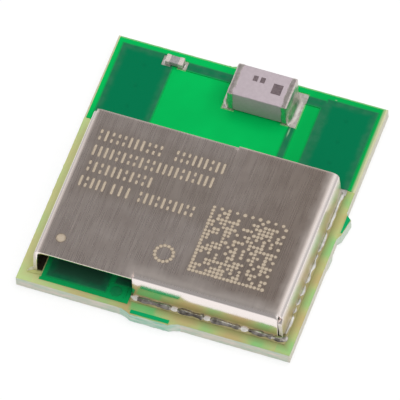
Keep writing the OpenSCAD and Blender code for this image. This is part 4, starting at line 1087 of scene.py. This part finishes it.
square_tree, given = new_tree("dot_square", Host="Geometry", Middle="Vector", Pitch="Float", Count="Int",
                              Share="Float", Seed="Int", Dot="Object", Finish="Material")
last = add(square_tree, "Math", given["Count"], 1.0, operation="SUBTRACT")
span = add(square_tree, "Math", last, given["Pitch"], operation="MULTIPLY")
grid = add(square_tree, "GeometryNodeMeshGrid", span, span, given["Count"], given["Count"])
grid = add(square_tree, "GeometryNodeTransform", grid, {"Translation": given["Middle"]})
position = add(square_tree, "GeometryNodeInputPosition")
spot = add(square_tree, "VectorMath", position, given["Middle"], operation="SUBTRACT")
spot = add(square_tree, "SeparateXYZ", spot, out=None)
numbers = []
for axis in ("X", "Y"):
    steps = add(square_tree, "Math", spot[axis], given["Pitch"], operation="DIVIDE")
    steps = add(square_tree, "Math", last, 0.5, steps, operation="MULTIPLY_ADD")
    numbers.append(add(square_tree, "Math", steps, operation="ROUND"))
solid_edge = add(square_tree, "Math", *numbers, operation="MINIMUM")
solid_edge = add(square_tree, "Math", solid_edge, 0.5, operation="LESS_THAN")
far_edge = add(square_tree, "Math", *numbers, operation="MAXIMUM")
far_edge = add(square_tree, "Math", far_edge, last, 0.5, operation="COMPARE")
every_other = add(square_tree, "Math", *numbers, operation="ADD")
every_other = add(square_tree, "Math", every_other, 2.0, operation="MODULO")
chance = add(square_tree, "FunctionNodeRandomValue", {6: given["Share"], 8: given["Seed"]}, out=3,
             data_type="BOOLEAN")
chosen = add(square_tree, "Mix", far_edge, {2: chance, 3: every_other})
chosen = add(square_tree, "Math", chosen, solid_edge, operation="MAXIMUM")
shape = add(square_tree, "GeometryNodeObjectInfo", given["Dot"], {"As Instance": True}, out="Geometry")
size = add(square_tree, "FunctionNodeRandomValue", {2: SMALL_DOT, 3: LARGE_DOT, 8: given["Seed"]}, out=1)
dots = add(square_tree, "GeometryNodeInstanceOnPoints", grid, chosen, shape, {"Scale": size})
close_tree(square_tree, dots, given["Finish"])

# %% [markdown]
# ## Ticks along a line
# The rows are plain ticks, some of them halved, and the ring is dots along a circle. An Array modifier would
# set only one shape at even steps, so a second tree walks along any line and chooses one of two shapes at
# each step.

# %% Tick row nodes
row_tree, given = new_tree("tick_row", Host="Geometry", Pitch="Float", Share="Float", Seed="Int",
                           Bar="Object", Pair="Object", Finish="Material")
rule = add(row_tree, "GeometryNodeMeshToCurve", given["Host"])
rule = add(row_tree, "GeometryNodeResampleCurve", rule, {"Length": given["Pitch"]}, mode="LENGTH")
whole = add(row_tree, "FunctionNodeRandomValue", {6: given["Share"], 8: given["Seed"]}, out=3,
            data_type="BOOLEAN")
halved = add(row_tree, "FunctionNodeBooleanMath", whole, operation="NOT")
both = add(row_tree, "GeometryNodeJoinGeometry")
for choice, name in ((whole, "Bar"), (halved, "Pair")):
    shape = add(row_tree, "GeometryNodeObjectInfo", given[name], {"As Instance": True}, out="Geometry")
    ticks = add(row_tree, "GeometryNodeInstanceOnPoints", rule, choice, shape)
    row_tree.links.new(ticks, both.node.inputs[0])
close_tree(row_tree, both, given["Finish"])

# %% Burn the square and the rows
MARK_Z, DOT, STROKE, TICK_HEIGHT, TICK_PITCH = TOP_Z - 0.0005, 0.142, 0.1, 0.42, 0.19
HALF_TICKS = [(TICK_HEIGHT*middle, TICK_HEIGHT*0.4) for middle in (0.2, 0.8)]
SQUARE_MIDDLE, SQUARE_PITCH, SQUARE_COUNT = (2.01, -2.28), 0.127, 20
TICK_RUNS = [(0.13, -3.5, -1.5), (0.13, -0.95, 0.6), (-0.47, -3.5, 0.42), (-1.07, -3.46, -1.43),
             (-1.67, -3.52, -2.76), (-1.67, -2.45, -1.96), (-1.67, -1.55, 0.2)]


def burn_marks(name, guide, tree, **values):
    """Marks that a node tree sets along a guide mesh, as a piece of the shield."""
    mesh = run_nodes(loose("guide", guide), tree, Finish=mark_finish, **values)
    keep(name, mesh, mark_finish, "shield_sheet")


dot = laser_mark("dot", DOT, (0, DOT))
bar = laser_mark("bar", STROKE, (TICK_HEIGHT/2, TICK_HEIGHT))
pair = laser_mark("pair", STROKE, *HALF_TICKS)
burn_marks("dot_square", mesh_of("square", []), square_tree, Middle=Vector((*SQUARE_MIDDLE, MARK_Z))*MM,
           Pitch=SQUARE_PITCH*MM, Count=SQUARE_COUNT, Share=0.5, Seed=5, Dot=dot)
rules = mesh_of("ticks", [(x, y, MARK_Z) for y, *ends in TICK_RUNS for x in ends],
                [(2*i, 2*i + 1) for i in range(len(TICK_RUNS))])
burn_marks("tick_rows", rules, row_tree, Pitch=TICK_PITCH*MM, Share=0.6, Seed=2, Bar=bar, Pair=pair)

# %% Burn the ring and the disc
FIRST_CORNER, FIRST_DISC, RING, RING_RADIUS, RING_PITCH = (-3.38, -3.66), 0.35, (-0.13, -3.19), 0.3, 0.14

turns = round(2*math.pi*RING_RADIUS/RING_PITCH)
angles = [2*math.pi*i/turns for i in range(turns)]
spokes = [RING_RADIUS*Vector((math.cos(a), math.sin(a), 0)) for a in angles]
rules = mesh_of("ring", [Vector((*RING, MARK_Z)) + spoke for spoke in spokes],
                [(i, (i + 1) % turns) for i in range(turns)])
burn_marks("marked_ring", rules, row_tree, Pitch=RING_PITCH*MM, Share=1.0, Seed=2, Bar=dot, Pair=dot)
disc = laser_mark("disc", FIRST_DISC, (0, FIRST_DISC))
disc.data.transform(Matrix.Translation(Vector((*FIRST_CORNER, MARK_Z))*MM))
keep("first_corner_disc", settled(disc), mark_finish, "shield_sheet")
for shape in (dot, bar, pair):
    bpy.data.objects.remove(shape)

# %% [markdown]
# ## Chips with plated ends
# The antenna and the small capacitor by it are fired ceramic blocks with soft edges. Their ends were dipped
# in metal paste, so each end wears a thin cup whose lip wanders. A bevelled block with painted ends would
# have straight lips, so each cup is lofted from rounded outlines, with its lip shifted by noise, and is
# closed on its inside.

# %% Cup helpers
QUARTER_STEPS, CUP_STEP, CUP_FLOOR, LIP_WANDER, LIP_WAVES_PER_MM, LIP_ROUND = 4, 0.03, 0.08, 0.28, 4, 0.012


def soft_rim(low, high, edge, step):
    """A rectangle with round corners, in short steps."""
    rim = []
    corners = ((high[0] - edge, low[1] + edge), (high[0] - edge, high[1] - edge),
               (low[0] + edge, high[1] - edge), (low[0] + edge, low[1] + edge))
    for quarter, middle in enumerate(corners):
        for i in range(QUARTER_STEPS + 1):
            a = math.pi/2*(quarter - 1 + i/QUARTER_STEPS)
            rim.append(Vector(middle) + edge*Vector((math.cos(a), math.sin(a))))
    return stepped(rim, step)


def plated_end(made, low, high, side, band, plate, edge, seed):
    """Adds a closed cup of plating on one end in X of the box from low to high."""
    end = high[0] if side > 0 else low[0]
    outer = soft_rim(low[1:], high[1:], edge, CUP_STEP)
    centre = Vector(((low[1] + high[1])/2, (low[2] + high[2])/2))
    waves = [noise.noise(Vector((p.x*LIP_WAVES_PER_MM, p.y*LIP_WAVES_PER_MM, seed))) for p in outer]
    lip = [band*(1 + LIP_WANDER*wave) for wave in waves]
    inwards = [(centre - p).normalized() for p in outer]
    rings = [[(end - side*plate, *(p + (centre - p)*CUP_FLOOR)) for p in outer]]
    for inset, back_off in ((plate, 0.0), (plate*0.35, 0.0), (0.0, -LIP_ROUND)):
        rings.append([(end - side*(w + back_off), *(p + n*inset)) for p, n, w in zip(outer, inwards, lip)])
    for degrees in (0, 30, 60, 90):
        a = math.radians(degrees)
        x, inset = end - side*edge*(1 - math.sin(a)), edge*(1 - math.cos(a))
        rings.append([(x, *(p + n*inset)) for p, n in zip(outer, inwards)])
    rows = [[made.verts.new(Vector(p)*MM) for p in ring] for ring in rings]
    for a, b in zip(rows, rows[1:]):
        for i in range(len(outer)):
            made.faces.new((a[i - 1], a[i], b[i], b[i - 1]))
    made.faces.new(rows[0])
    made.faces.new(rows[-1])


print("lips wander by", LIP_WANDER, "of their width")


# %% Antenna and capacitor
def plated_chip(name, body_node, cap_node, body_finish, cap_finish, slot, band, plate, edge, cap_edge, seed):
    """A ceramic block and its two plated ends, in the places of two solids."""
    low, high = ([x/MM for x in p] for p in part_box(cap_node))
    block = bmesh.new()
    bmesh.ops.create_cube(block, size=1)
    for v in block.verts:
        v.co = Vector([((a + plate) if s < 0 else (b - plate)) for s, a, b in zip(v.co, low, high)])*MM
    bmesh.ops.bevel(block, geom=block.edges[:], offset=edge*MM, segments=4, profile=0.5, affect="EDGES")
    keep(name + "_ceramic", mesh_from(block, name), finishes[body_finish], slot, body_node)
    ends = bmesh.new()
    for side in (-1, 1):
        plated_end(ends, low, high, side, band, plate, cap_edge, seed + side)
    bmesh.ops.recalc_face_normals(ends, faces=ends.faces)
    keep(name + "_ends", mesh_from(ends, name), finishes[cap_finish], "terminal_tin", cap_node)


plated_chip("antenna", "antenna_body", "antenna_terminals", "antenna_ceramic", "terminal_tin",
            "antenna_ceramic", band=0.19, plate=0.015, edge=0.03, cap_edge=0.06, seed=4.0)
plated_chip("capacitor", "matching_capacitor_body", "matching_capacitor_terminals", "grey_ceramic",
            "silvered", "capacitor_ceramic", band=0.15, plate=0.01, edge=0.025, cap_edge=0.03, seed=9.0)
